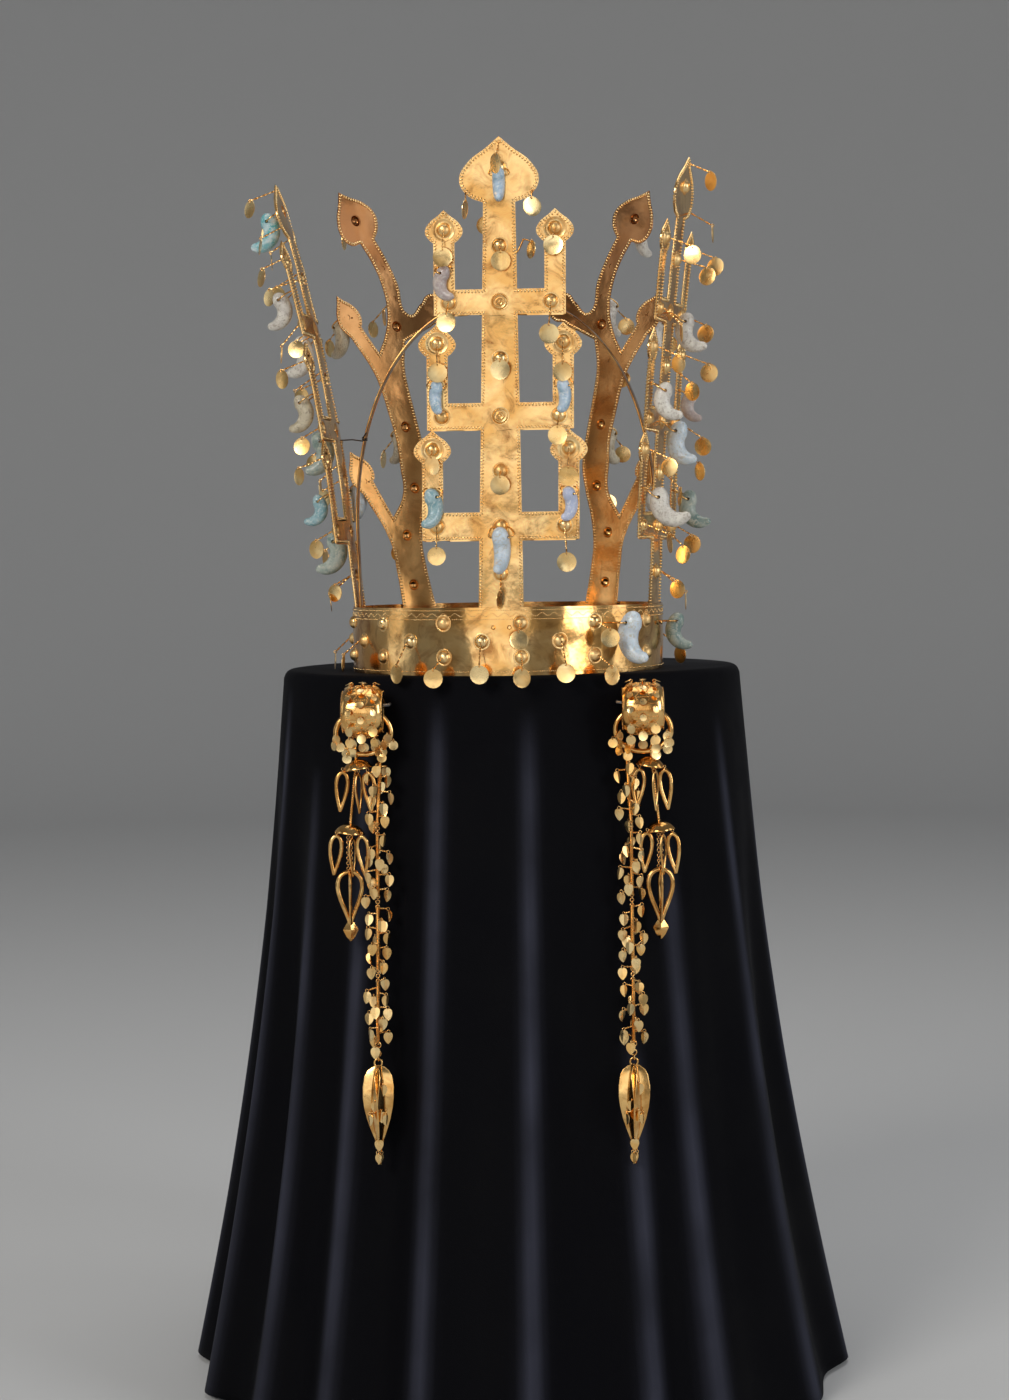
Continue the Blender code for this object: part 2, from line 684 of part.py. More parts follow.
ANTLER_RIGHT_HANGINGS = (
    Hanging("bud", "jade", 0.85, 0),
    Hanging("neck", "jade", 0.92, 0),
    Hanging("upper_bud", "jade", 0.85, 0),
    Hanging("waist_top", "jade", 0.92, 0),
    Hanging("lower_bud", "jade", 0.85, 0),
    Hanging("mid", "spangle", 1.00, 30),
    Hanging("waist_low", "spangle", 1.00, 60),
    Hanging("inner_bud", "spangle", 1.00, 20),
)

# Knobs that stand alone, beside those that carry something.
TREE_KNOBS = (
    "bud", "trunk_top", "cross_3", "trunk_32", "cross_2", "trunk_21", "cross_1", "trunk_foot",
    "arm_3n", "arm_3f", "arm_2n", "arm_2f", "arm_1n", "arm_1f",
    "bud_3n", "bud_3f", "bud_2n", "bud_2f", "bud_1n", "bud_1f",
)
DROOP = 0.35
DROOP_LEAST = 0.0020


def hang_on_sheet(key, upright, stations, knobs, hangings, finish):
    """Knobs, wires and spangles as shapes to fuse to the sheet. The jades become nodes of their own."""
    parts = []
    jades = [row for row in hangings if row.kind == "jade"]
    held = {row.station for row in jades}
    for station in knobs:
        if station not in held:
            across, height = stations[station]
            normal = sheet_normal(upright, across, height)
            parts.append(knob(sheet_place(upright, across, height, SHEET), normal))
    level = outward(upright.azimuth)
    for row in hangings:
        across, height = stations[row.station]
        if row.kind == "spangle":
            start = sheet_place(upright, across, height, SHEET * 0.5)
            reach = row.size * SPANGLE_REACH
            parts.append(spangle(start, level, reach, DROOP_LEAST + DROOP * reach, row.turn))
    for count, row in enumerate(jades, 1):
        across, height = stations[row.station]
        foot = sheet_place(upright, across, height, SHEET)
        length = row.size * JADE_LENGTH
        name = f"jade_{key}_{count}"
        parts.append(hang_jade(name, foot, level, length, row.turn, JADE_DROP * length, finish, upright.mirror))
    return parts


def staple_holes(azimuth):
    """Two level holes through the headband and the foot of an upright."""
    reach = BAND_WALL + SHEET + 4 * GAP
    holes = []
    for side in (-1, 1):
        middle = staple_leg(azimuth, side)
        level = outward(leg_azimuth(azimuth, side))
        holes.append(tube([middle - level * 2 * reach, middle + level * reach], STAPLE_HOLE, 6))
    return holes


def leg_azimuth(azimuth, side):
    return azimuth + side * math.degrees(STAPLE_SPREAD / 2 / BAND_RADIUS)


def staple_leg(azimuth, side):
    return band_place(leg_azimuth(azimuth, side), STAPLE_HEIGHT)


# How much deeper a staple reaches where it also holds the foot of an inner strap.
STAPLE_DEPTHS = {
    "front": STRAP_THICKNESS + 1.5 * GAP,
    "left": STRAP_THICKNESS + 1.5 * GAP,
    "right": STRAP_THICKNESS + 1.5 * GAP,
    "back": STRAP_THICKNESS + 1.5 * GAP,
}
STRAP_BACK = 180


def build_staple(key, azimuth, deeper, finish):
    """A bridge of wire inside the foot, two legs through both sheets, and a flat head on each leg outside."""
    inner = -(BAND_WALL + 2.7 * GAP + 2 * SHEET + deeper)
    legs = []
    for side in (-1, 1):
        level = outward(leg_azimuth(azimuth, side))
        middle = staple_leg(azimuth, side)
        head = 2.4 * STAPLE_WIRE
        stations = [inner - 2 * STAPLE_WIRE, 1.6 * GAP, 1.6 * GAP + 0.0001, 2.6 * GAP + 0.0006]
        radii = [STAPLE_WIRE, STAPLE_WIRE, head, 0.6 * head]
        legs.append(tube([middle + level * station for station in stations], radii, 5))
    level = outward(azimuth)
    depth = inner - STAPLE_WIRE - GAP
    start, end = [staple_leg(azimuth, side) + level * depth for side in (-1.15, 1.15)]
    bridge = tube([start, end], STAPLE_WIRE * 1.1, 5)
    node(f"staple_{key}", fuse(bridge, legs), finish)


# Headband.

BAND_COLUMNS = 13
BAND_PHASE = 6.8
BAND_ROWS = {"high": 0.77, "mid": 0.50, "low": 0.27}
BAND_FREE_ARC = 35
BAND_BARE_ARC = 125
BAND_JADES = ((45, 0.74, 1.15, 4), (84, 0.72, 0.85, 6))


def band_ring(radius, height):
    return [band_place(360 * i / BAND_SIDES, height, radius - BAND_RADIUS) for i in range(BAND_SIDES)]


def build_headband(gold, jade):
    inner = BAND_RADIUS - BAND_WALL
    wall = loft(
        [
            band_ring(BAND_RADIUS, 0),
            band_ring(BAND_RADIUS, BAND_HEIGHT),
            band_ring(inner, BAND_HEIGHT),
            band_ring(inner, 0),
        ],
        closed=True,
    )
    parts = []
    pitch = 360 / BAND_COLUMNS
    taken = [azimuth for azimuth, *_ in BAND_JADES]
    clamps = [upright.azimuth for upright in UPRIGHTS.values()] + [STRAP_BACK]
    for column in range(BAND_COLUMNS):
        pair = BAND_PHASE + column * pitch
        for row, azimuth in (("high", pair), ("low", pair), ("mid", pair + pitch / 2)):
            azimuth = (azimuth + 180) % 360 - 180
            if any(abs(azimuth - jade_azimuth) < 0.33 * pitch for jade_azimuth in taken):
                continue
            if row == "high" and any(abs(azimuth - clamp) < 4.8 for clamp in clamps):
                continue
            level = outward(azimuth)
            height = BAND_ROWS[row] * BAND_HEIGHT
            parts.append(knob(band_place(azimuth, height), level))
            free = abs(azimuth) < BAND_FREE_ARC
            if row == "high" or (row == "low" and not free) or abs(azimuth) > BAND_BARE_ARC:
                continue
            droop = 0.005 if free else -0.0015
            start = band_place(azimuth, height, -BAND_WALL / 2)
            parts.append(spangle(start, level, SPANGLE_REACH, droop, 25 * math.sin(azimuth)))
    for count, (azimuth, height, length, tilt) in enumerate(BAND_JADES, 1):
        foot = band_place(azimuth, height * BAND_HEIGHT)
        name = f"jade_band_{count}"
        parts.append(hang_jade(name, foot, outward(azimuth), length * JADE_LENGTH, tilt, 0, jade))
    holes = [hole for upright in UPRIGHTS.values() for hole in staple_holes(upright.azimuth)]
    holes += staple_holes(STRAP_BACK)
    node("headband", cut(fuse(wall, parts), holes), gold)


def build_uprights(gold, jade):
    trees = {**tree_stations(), **rim_stations()}
    antlers = antler_stations()
    rows = (
        ("front", tree_outline(), trees, TREE_KNOBS, FRONT_HANGINGS),
        ("left", tree_outline(), trees, TREE_KNOBS, LEFT_HANGINGS),
        ("right", tree_outline(), trees, TREE_KNOBS, RIGHT_HANGINGS),
        ("antler_left", antler_outline(), antlers, tuple(antlers), ANTLER_LEFT_HANGINGS),
        ("antler_right", antler_outline(), antlers, tuple(antlers), ANTLER_RIGHT_HANGINGS),
    )
    for key, outline, stations, knobs, hangings in rows:
        upright = UPRIGHTS[key]
        placed = {name: (across * upright.mirror, height) for name, (across, height) in stations.items()}
        parts = hang_on_sheet(key, upright, placed, knobs, hangings, jade)
        sheet = fuse(sheet_shape(upright, outline), parts)
        node(upright.name, cut(sheet, staple_holes(upright.azimuth)), gold)
        build_staple(key, upright.azimuth, STAPLE_DEPTHS.get(key, 0), gold)


# Inner straps.

STRAP_STEPS = 10
STRAP_FOOT = 0.018


def strap_radius(rise):
    """How far out a strap's leg stands at a height: straight inside the band, and leaning out above it."""
    foot = BAND_RADIUS - BAND_WALL - 3.4 * GAP - SHEET - STRAP_THICKNESS / 2
    share = min(max((rise - BAND_HEIGHT) / (STRAP_HIP_HEIGHT - BAND_HEIGHT), 0), 1)
    return foot + STRAP_HIP_OUT * share


def strap_leg(lift):
    """One leg of a strap from its foot to the crossing, as distances from the middle and heights."""
    rows = [(strap_radius(rise), rise) for rise in (STRAP_FOOT, BAND_HEIGHT, STRAP_HIP_HEIGHT)]
    hip = rows[-1][0]
    for step in range(1, STRAP_STEPS + 1):
        turn = math.pi / 2 * step / STRAP_STEPS
        rise = STRAP_HIP_HEIGHT + (STRAP_RISE - lift - STRAP_HIP_HEIGHT) * math.sin(turn) ** 0.92
        rows.append((hip * max(math.cos(turn), 0) ** 0.92, rise))
    return rows


def build_strap(name, azimuths, lift, gold):
    """A flat strap bent to an arch across the crown. lift holds it under the other strap where they cross."""
    first, second = azimuths
    leg = strap_leg(lift)
    rows = [(first, across, rise, -1) for across, rise in leg[:-1]]
    rows += [((first + second) / 2, 0, leg[-1][1], 0)]
    rows += [(second, across, rise, 1) for across, rise in reversed(leg[:-1])]
    points = [CROWN_CENTRE + outward(azimuth) * across + UP * rise for azimuth, across, rise, _ in rows]
    middle = (sideways(second) - sideways(first)).normalized()
    rings = []
    for i, point in enumerate(points):
        azimuth, _, _, half_of = rows[i]
        side = {-1: -sideways(first), 0: middle, 1: sideways(second)}[half_of]
        along = (points[min(i + 1, len(points) - 1)] - points[max(i - 1, 0)]).normalized()
        normal = along.cross(side).normalized()
        half, thick = side * (STRAP_WIDTH / 2), normal * (STRAP_THICKNESS / 2)
        rings.append([point - half - thick, point + half - thick, point + half + thick, point - half + thick])
    hole = tube(
        [CROWN_CENTRE + UP * (STRAP_RISE - 0.010), CROWN_CENTRE + UP * (STRAP_RISE + 0.010)],
        STAPLE_HOLE + 0.0001, 6, side_hint=Vector((1, 0, 0)),
    )
    node(name, cut(mesh_of(loft(rings)), [hole]), gold)


# Twigs of the spray: azimuth, share of the stem where it forks, length share, and how far it reaches up.
SPRAY_TWIGS = ((80, 0.45, 0.28, 0.30), (200, 0.60, 0.26, 0.34), (320, 0.75, 0.22, 0.30))


def build_spray(gold):
    """A gold twig whose foot is the rivet of the two straps, with a leaf at the end of each fork."""
    top = CROWN_CENTRE + UP * (STRAP_RISE + SPRAY_HEIGHT)
    across = Vector((1, 0, 0))
    flange = STRAP_THICKNESS / 2 + GAP
    under = STRAP_RISE - 2 * STRAP_THICKNESS - 3.5 * GAP
    stations = [under - 0.0012, under - GAP, under - GAP + 0.0001]
    stations += [STRAP_RISE + flange, STRAP_RISE + flange + 0.0001, STRAP_RISE + 0.0022]
    stations += [STRAP_RISE + SPRAY_HEIGHT]
    radii = [0.0018, 0.0020, 0.0008, 0.0008, 0.0022, 0.0012, 0.0007]
    stem = tube([CROWN_CENTRE + UP * station for station in stations], radii, 6, side_hint=across)
    parts = [spangle(top - UP * 0.001, outward(0), 0.006, -0.002, 30)]
    for azimuth, fork, reach, rise in SPRAY_TWIGS:
        level = outward(azimuth)
        start = CROWN_CENTRE + UP * (STRAP_RISE + fork * SPRAY_HEIGHT)
        end = start + level * (reach * SPRAY_HEIGHT) + UP * (rise * SPRAY_HEIGHT)
        parts.append(tube([start, end], 0.0006, 5, side_hint=sideways(azimuth)))
        parts.append(spangle(end - level * 0.0005 - UP * 0.0003, level, 0.004, 0.0005, 40))
    node("strap_spray", fuse(stem, parts), gold)


# Pendants.


def cloth_radius(drop):
    """The draped cloth's outer radius at its ridges, a given drop below the top."""
    share = drop / STAND_HEIGHT
    return STAND_RADIUS + (CLOTH_FLARE * STAND_HEIGHT * share) * (0.55 + 0.45 * share)


def hang_place(side, out, drop, off):
    """A point in front of the cloth: out from the crown's middle, drop below the top, and off the cloth."""
    radius = cloth_radius(max(drop, 0))
    depth = math.sqrt(radius**2 - PENDANT_OUT**2)
    return Vector((side * out, -depth - off, STAND_HEIGHT - drop))


def cloth_front(x, drop):
    """Y of the folded cloth's outer face at x, on its front side."""
    points = cloth_ring(drop, 0)
    for start, end in zip(points, points[1:] + points[:1]):
        if start.y < 0 and end.y < 0 and min(start.x, end.x) <= x <= max(start.x, end.x):
            return start.y + (end.y - start.y) * (x - start.x) / (end.x - start.x)
    return -cloth_radius(drop)


def build_thick_ring(name, side, gold):
    """A fat hollow-looking ring seen on its edge, whose hole runs level."""
    middle = (THICK_RING_RADIUS + THICK_RING_HOLE) / 2
    half = (THICK_RING_RADIUS - THICK_RING_HOLE) / 2
    centre = hang_place(side, PENDANT_OUT, PENDANT_DROP + THICK_RING_RADIUS, THICK_RING_RADIUS + THICK_RING_OFF)
    across = Vector((1, 0, 0))
    rings = []
    sides = 14
    for i in range(sides):
        angle = 2 * math.pi * i / sides
        away = Vector((0, math.cos(angle), math.sin(angle)))
        rings.append(ring(centre + away * middle, across, away, THICK_RING_WIDTH / 2, half, 8))
    node(name, mesh_of(loft(rings, closed=True)), gold)
    return centre


def build_pin(name, side, centre, steel):
    """A bent pin that stands out of the cloth on the crown's side, and whose arm carries the thick ring."""
    reach = THICK_RING_WIDTH / 2 + 0.0022
    rise = UP * (THICK_RING_HOLE - PIN_RADIUS - GAP)
    inner = Vector((-side, 0, 0))
    corner = centre + rise + inner * reach
    back = Vector((corner.x, cloth_front(corner.x, STAND_HEIGHT - corner.z) - 3 * GAP, corner.z))
    bend = 0.0015
    path = [back, corner + Vector((0, bend, 0)), corner - inner * bend, centre + rise - inner * (reach - 0.004)]
    node(name, mesh_of(tube(path, PIN_RADIUS, 6)), steel)


SLIM_RING_RISE = 0.0006


def build_slim_ring(name, centre, gold):
    """A slim oval ring that passes through the thick ring and hangs below it."""
    half_height = SLIM_RING_HEIGHT / 2 - SLIM_RING_WIRE
    half_width = SLIM_RING_WIDTH / 2 - SLIM_RING_WIRE
    middle = centre + DOWN * (half_height - SLIM_RING_RISE)
    sides = 18
    points = []
    for i in range(sides):
        angle = 2 * math.pi * i / sides
        points.append(middle + Vector((half_width * math.sin(angle), 0, half_height * math.cos(angle))))
    node(name, mesh_of(tube(points, SLIM_RING_WIRE, 6, closed=True, side_hint=Vector((0, 1, 0)))), gold)
    return middle, half_width, half_height


def slim_ring_under(middle, half_width, half_height, x):
    """The middle of the slim ring's wire at x, on its lower side."""
    share = (x - middle.x) / half_width
    return Vector((x, middle.y, middle.z - half_height * math.sqrt(1 - share * share)))


def loop_round(centre, normal, radius=LOOP_RADIUS, wire=LOOP_WIRE):
    """A closed wire loop about centre, with its plane square to normal."""
    normal = normal.normalized()
    across = normal.cross(UP).normalized() if abs(normal.z) < 0.9 else Vector((1, 0, 0))
    up = normal.cross(across)
    return tube(ring(centre, across, up, radius, radius, 8, 0), wire, 4, closed=True, side_hint=normal)


def teardrop(eye, across, down, length, width, wire):
    """A closed teardrop of wire that hangs from its eye, round at the top and pointed below."""
    shares = ((0.00, 0.00), (0.10, 0.42), (0.32, 0.50), (0.66, 0.27))
    right = [eye + down * (length * drop) + across * (width * out) for drop, out in shares]
    left = [eye + down * (length * drop) - across * (width * out) for drop, out in reversed(shares[1:])]
    normal = across.cross(down)
    return tube(right + [eye + down * length] + left, wire, 3, closed=True, side_hint=normal)


def canopy(top, lean):
    """A lens-shaped cap, domed above and hollowed a little below."""
    axis = (UP + lean).normalized()
    across = axis.cross(Vector((0, 1, 0))).normalized()
    up = axis.cross(across)
    rows = ((0.00, 0.16), (0.30, 0.66), (0.75, 1.00), (1.00, 0.70))
    rings = []
    for drop, width in rows:
        centre = top - axis * (CANOPY_HEIGHT * drop)
        radius = CANOPY_RADIUS * width
        rings.append(ring(centre, across, up, radius, 0.8 * radius, 8))
    return loft(rings)


SHORT_STRAND_OUT = 0.0045
LONG_STRAND_OUT = 0.0095
STRAND_OFF = 0.0120
LONG_STRAND_OFF = 0.0170


def strand_point(start, side, out, drop, off, settle):
    """A point that goes from straight below start to its place off the cloth, as settle goes 0 to 1."""
    landed = hang_place(side, out, drop, off)
    return Vector((start.x, start.y, landed.z)).lerp(landed, min(max(settle, 0), 1))


def build_short_strand(name, side, slim, gold):
    """Two canopies on chains, three wire drops under each, and a three-bladed cage drop at the end."""
    start = slim_ring_under(*slim, slim[0].x + side * SHORT_STRAND_OUT)
    loop_centre = start + DOWN * LOOP_SAG
    loop = loop_round(loop_centre, Vector((1, 0, 0)))
    out = abs(start.x)
    drop = STAND_HEIGHT - loop_centre.z + LOOP_RADIUS

    def place(further, down):
        """Leaves the loop straight down, and settles in front of the cloth further down."""
        return strand_point(loop_centre, side, out + further, drop + down, STRAND_OFF, down / UPPER_CHAIN)

    upper = place(0.001, -0.0006)
    hub_1 = place(0.002, CANOPY_HEIGHT)
    hub_2 = place(0.004, CANOPY_HEIGHT + UPPER_CHAIN)
    low_2 = place(0.0045, 2 * CANOPY_HEIGHT + UPPER_CHAIN)
    end = place(0.0045, 2 * CANOPY_HEIGHT + UPPER_CHAIN + LOWER_CHAIN)
    parts = [canopy(upper, Vector((0.15 * side, 0, 0))), canopy(hub_2, Vector((-0.10 * side, 0, 0)))]
    parts.append(tube([hub_1 + UP * 0.002, hub_2 - UP * 0.001], CHAIN_RADIUS, 6, side_hint=Vector((0, 1, 0))))
    parts.append(tube([low_2 + UP * 0.002, end - UP * 0.001], CHAIN_RADIUS, 6, side_hint=Vector((0, 1, 0))))
    across = Vector((1, 0, 0))
    for hub in (hub_1, low_2):
        for share, lower in ((-0.62, 0.0), (0.20, 0.0010), (0.62, 0.0)):
            eye = hub + Vector((share * CANOPY_RADIUS, -0.0030, 0.0010 - lower))
            swing = Matrix.Rotation(math.radians(70 if abs(share) < 0.5 else 0), 3, "Z")
            down = Vector((0, -0.04, -1)).normalized()
            side_swing = Vector((0.20 * share, 0, 0))
            parts.append(teardrop(eye, swing @ across, down + side_swing, DROP_LENGTH, DROP_WIDTH, DROP_WIRE))
    down = Vector((0, -0.06, -1)).normalized()
    parts.append(teardrop(end, across, down, CAGE_LENGTH * 0.80, CAGE_WIDTH, CAGE_BAR))
    blade_end = end + down * CAGE_LENGTH * 0.78
    parts.append(tube([end, blade_end], [CAGE_BAR * 0.8, CAGE_BAR * 1.5], 4, side_hint=across))
    tip = []
    for reach, wide in ((0.70, 0.10), (0.86, 0.26), (1.00, 0.03)):
        centre = end + down * (CAGE_LENGTH * reach)
        tip.append(ring(centre, across, Vector((0, 1, 0)), CAGE_WIDTH * wide, 0.3 * CAGE_WIDTH * wide, 4, 0))
    parts.append(loft(tip))
    node(name, fuse(loop, parts), gold)


def build_long_strand(name, side, slim, gold):
    """Wire-wound stems joined end to end, from the slim ring down to the big leaf."""
    start = slim_ring_under(*slim, slim[0].x - side * LONG_STRAND_OUT)
    loop_centre = start + DOWN * LOOP_SAG
    loop = loop_round(loop_centre, Vector((1, 0, 0)))
    out = abs(start.x) + 0.002
    drop = STAND_HEIGHT - loop_centre.z + LOOP_RADIUS

    def place(down):
        return strand_point(loop_centre, side, out, drop + down, LONG_STRAND_OFF, down / STEM_LENGTH)

    points, radii = [place(-LOOP_WIRE)], [LOOP_WIRE]
    down = 0.002
    for _ in range(STEM_COUNT):
        ends = (down, down + 0.001, down + STEM_LENGTH - 0.001, down + STEM_LENGTH)
        points += [place(end) for end in ends]
        radii += [LOOP_WIRE, STEM_RADIUS, STEM_RADIUS, LOOP_WIRE]
        down += STEM_LENGTH + STEM_LINK
    stem = tube(points, radii, 6, side_hint=Vector((0, 1, 0)))
    ring_radius = 0.0022
    end = points[-1] + DOWN * (ring_radius - LOOP_WIRE / 2)
    eye = loop_round(end, Vector((1, 0, 0)), ring_radius, 0.0006)
    node(name, fuse(stem, [loop, eye]), gold)
    return end + DOWN * ring_radius


# A leaf's outline from its eye to its point: share of its length, and share of its width.
LEAF_OUTLINE = ((0.00, 0.30), (0.08, 0.76), (0.25, 1.00), (0.50, 0.90), (0.76, 0.52), (1.00, 0.08))
LEAF_BLADES = ((0, 0.0), (1, 60.0), (-1, -60.0))


def build_leaf_drop(name, hook, gold):
    """Three long leaves, joined under one small ring that hangs in the strand's last loop."""
    ring_radius, wire = 0.0022, 0.0006
    centre = hook + DOWN * (ring_radius - 2 * wire - 1.6 * GAP)
    eye = loop_round(centre, Vector((0, 1, 0)), ring_radius, wire)
    top = centre + DOWN * (ring_radius - wire)
    blades = []
    for side, turn in LEAF_BLADES:
        swing = Matrix.Rotation(math.radians(turn), 3, "Z")
        across = swing @ Vector((1, 0, 0))
        face = swing @ Vector((0, -1, 0))
        foot = top + face * 0.0002
        rings = []
        for down, wide in LEAF_OUTLINE:
            bow = 0.0035 * math.sin(math.pi * min(down * 1.1, 1)) + 0.0012 * (side != 0)
            middle = foot + DOWN * (down * LEAF_LENGTH) + face * bow
            half = across * (LEAF_WIDTH / 2 * wide)
            thick = face * (LEAF_THICKNESS / 2)
            near, far = middle + thick, middle - thick
            rings.append([far - half, far + half, near + half, near - half])
        blades.append(loft(rings))
    node(name, fuse(eye, blades), gold)


def build_pendant(word, side, gold, steel):
    centre = build_thick_ring(f"thick_ring_{word}", side, gold)
    build_pin(f"pendant_pin_{word}", side, centre, steel)
    slim = build_slim_ring(f"slim_ring_{word}", centre, gold)
    build_short_strand(f"short_strand_{word}", side, slim, gold)
    hook = build_long_strand(f"long_strand_{word}", side, slim, gold)
    build_leaf_drop(f"leaf_drop_{word}", hook, gold)


# Stand.

# Folds of the cloth: azimuth of the ridge, and depth of the fold after it, as a share of the full depth.
Fold = namedtuple("Fold", "azimuth depth")
FOLDS = tuple(
    Fold(*row)
    for row in (
        (-68, 1.00), (-46, 0.80), (-26, 0.70), (-10, 0.60), (4, 0.60), (19, 0.70), (38, 0.80), (60, 0.90),
        (84, 1.00), (108, 1.00), (132, 0.90), (156, 0.90), (180, 0.90), (204, 0.90), (228, 1.00), (252, 1.00),
        (272, 1.00),
    )
)
CLOTH_LEVELS = (0.03, 0.30, 0.62, 1.00)


def cloth_ring(drop, inset):
    """The cloth's outline at a drop below its top: ridges and valleys in turn, moved in by inset."""
    points = []
    depth = FOLD_DEPTH * min(drop / STAND_HEIGHT * 1.5, 1)
    for i, fold in enumerate(FOLDS):
        after = FOLDS[(i + 1) % len(FOLDS)].azimuth % 360
        gap = (after - fold.azimuth) % 360
        for azimuth, dent in ((fold.azimuth, 0), (fold.azimuth + gap / 2, fold.depth * depth)):
            radius = cloth_radius(drop) - dent - inset
            points.append(outward(azimuth) * radius + UP * (STAND_HEIGHT - drop))
    return points


def top_ring(radius, height):
    return [Vector((*(point.normalized() * radius).xy, height)) for point in
            (Vector((p.x, p.y, 0)) for p in cloth_ring(0, 0))]


def build_stand(velvet, wood):
    inner = STAND_RADIUS - CLOTH_WALL
    drops = [share * (STAND_HEIGHT - HEM_CLEARANCE) for share in CLOTH_LEVELS]
    rings = [top_ring(STAND_RADIUS - CLOTH_CORNER, STAND_HEIGHT)]
    rings += [top_ring(STAND_RADIUS - 0.3 * CLOTH_CORNER, STAND_HEIGHT - 0.3 * CLOTH_CORNER)]
    rings += [cloth_ring(drop, 0) for drop in drops]
    rings += [cloth_ring(drop, CLOTH_WALL) for drop in reversed(drops)]
    rings += [top_ring(inner - CLOTH_CORNER, STAND_HEIGHT - CLOTH_WALL)]
    node("velvet_cloth", mesh_of(loft(rings)), velvet)
    radius = (inner - CLOTH_CORNER) * math.cos(math.pi / len(FOLDS) / 1.5) - GAP
    across, ahead = Vector((1, 0, 0)), Vector((0, 1, 0))
    top = STAND_HEIGHT - CLOTH_WALL - GAP
    plinth = loft([ring(UP * height, across, ahead, radius, radius, PLINTH_SIDES) for height in (0, top)])
    node("plinth", mesh_of(plinth), wood)


def main():
    for thing in list(bpy.data.objects):
        bpy.data.objects.remove(thing)
    gold = material("gold", (0.83, 0.56, 0.20), 0.30, 1.0)
    jade = material("jade", (0.66, 0.72, 0.66), 0.35, 0.0)
    velvet = material("velvet", (0.010, 0.010, 0.013), 0.95, 0.0)
    wood = material("painted_wood", (0.20, 0.20, 0.20), 0.60, 0.0)
    steel = material("steel", (0.60, 0.60, 0.62), 0.35, 1.0)
    build_stand(velvet, wood)
    build_headband(gold, jade)
    build_uprights(gold, jade)
    build_strap("strap_side", (UPRIGHTS["left"].azimuth, UPRIGHTS["right"].azimuth), 0.0, gold)
    build_strap("strap_front", (STRAP_BACK, UPRIGHTS["front"].azimuth), STRAP_THICKNESS + 2.5 * GAP, gold)
    build_staple("back", STRAP_BACK, STAPLE_DEPTHS["back"] - SHEET, gold)
    build_spray(gold)
    for word, side in (("left", -1), ("right", 1)):
        build_pendant(word, side, gold, steel)


main()
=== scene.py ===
import math
import random
from collections import namedtuple
from contextlib import contextmanager

import bmesh
import bpy
from mathutils import Matrix, Vector, noise


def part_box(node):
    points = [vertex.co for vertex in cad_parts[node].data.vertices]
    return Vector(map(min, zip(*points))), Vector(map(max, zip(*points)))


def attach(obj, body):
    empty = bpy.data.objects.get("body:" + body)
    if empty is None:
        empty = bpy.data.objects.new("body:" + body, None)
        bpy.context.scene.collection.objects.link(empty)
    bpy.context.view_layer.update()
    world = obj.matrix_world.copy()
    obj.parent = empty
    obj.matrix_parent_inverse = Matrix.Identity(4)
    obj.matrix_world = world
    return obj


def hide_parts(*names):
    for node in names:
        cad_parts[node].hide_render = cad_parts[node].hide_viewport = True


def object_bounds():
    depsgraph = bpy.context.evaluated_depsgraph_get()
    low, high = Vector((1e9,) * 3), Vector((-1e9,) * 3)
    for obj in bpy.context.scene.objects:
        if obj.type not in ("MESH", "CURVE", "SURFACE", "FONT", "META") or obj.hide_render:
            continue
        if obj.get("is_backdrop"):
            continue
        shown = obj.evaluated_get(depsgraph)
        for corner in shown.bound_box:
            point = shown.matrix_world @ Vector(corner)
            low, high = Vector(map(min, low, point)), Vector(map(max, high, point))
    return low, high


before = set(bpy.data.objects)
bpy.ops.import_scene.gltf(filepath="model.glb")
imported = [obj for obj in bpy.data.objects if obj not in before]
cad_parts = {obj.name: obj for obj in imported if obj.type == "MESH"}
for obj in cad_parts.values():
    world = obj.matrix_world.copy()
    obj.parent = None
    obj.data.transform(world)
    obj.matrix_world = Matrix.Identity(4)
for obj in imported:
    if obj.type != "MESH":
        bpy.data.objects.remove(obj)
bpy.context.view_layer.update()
bpy.ops.object.select_all(action="DESELECT")


# Camera: it looks at the crown's front from a little right of the middle and just above the headband.
# The crown's foot is the middle of the headband's lower edge, on the cloth.

UP = Vector((0, 0, 1))
DOWN = -UP
CROWN_FOOT = Vector((0, -0.048, 0.4403))
CAMERA_DISTANCE = 1.5
CAMERA_RISE = 0.065
CAMERA_AZIMUTH = math.radians(2.3)
CAMERA_YAW = math.radians(0.104)
CAMERA_PITCH = math.radians(-3.21)
CAMERA_ROLL = math.radians(-0.8)
CAMERA_LENS = 63.46

bpy.ops.object.camera_add()
camera = bpy.context.object
camera.name = "camera"
camera.data.lens = CAMERA_LENS
camera.data.clip_start = 0.05
camera.data.clip_end = 40
away = Vector((math.sin(CAMERA_AZIMUTH), -math.cos(CAMERA_AZIMUTH), 0))
camera.location = CROWN_FOOT + away * CAMERA_DISTANCE + UP * CAMERA_RISE
aim = Matrix.Rotation(CAMERA_AZIMUTH + CAMERA_YAW, 4, "Z")
aim = aim @ Matrix.Rotation(math.pi / 2 + CAMERA_PITCH, 4, "X") @ Matrix.Rotation(CAMERA_ROLL, 4, "Z")
camera.rotation_euler = aim.to_euler()
bpy.context.scene.camera = camera
bpy.context.scene.view_settings.view_transform = "Standard"


# Studio: a pale round floor that sweeps up into a wall on all sides, under a few large softboxes.
# Nothing here belongs to the crown.

FLOOR_RADIUS = 3.4
COVE_RADIUS = 1.6
COVE_STEPS = 10
WALL_TOP = 4.2


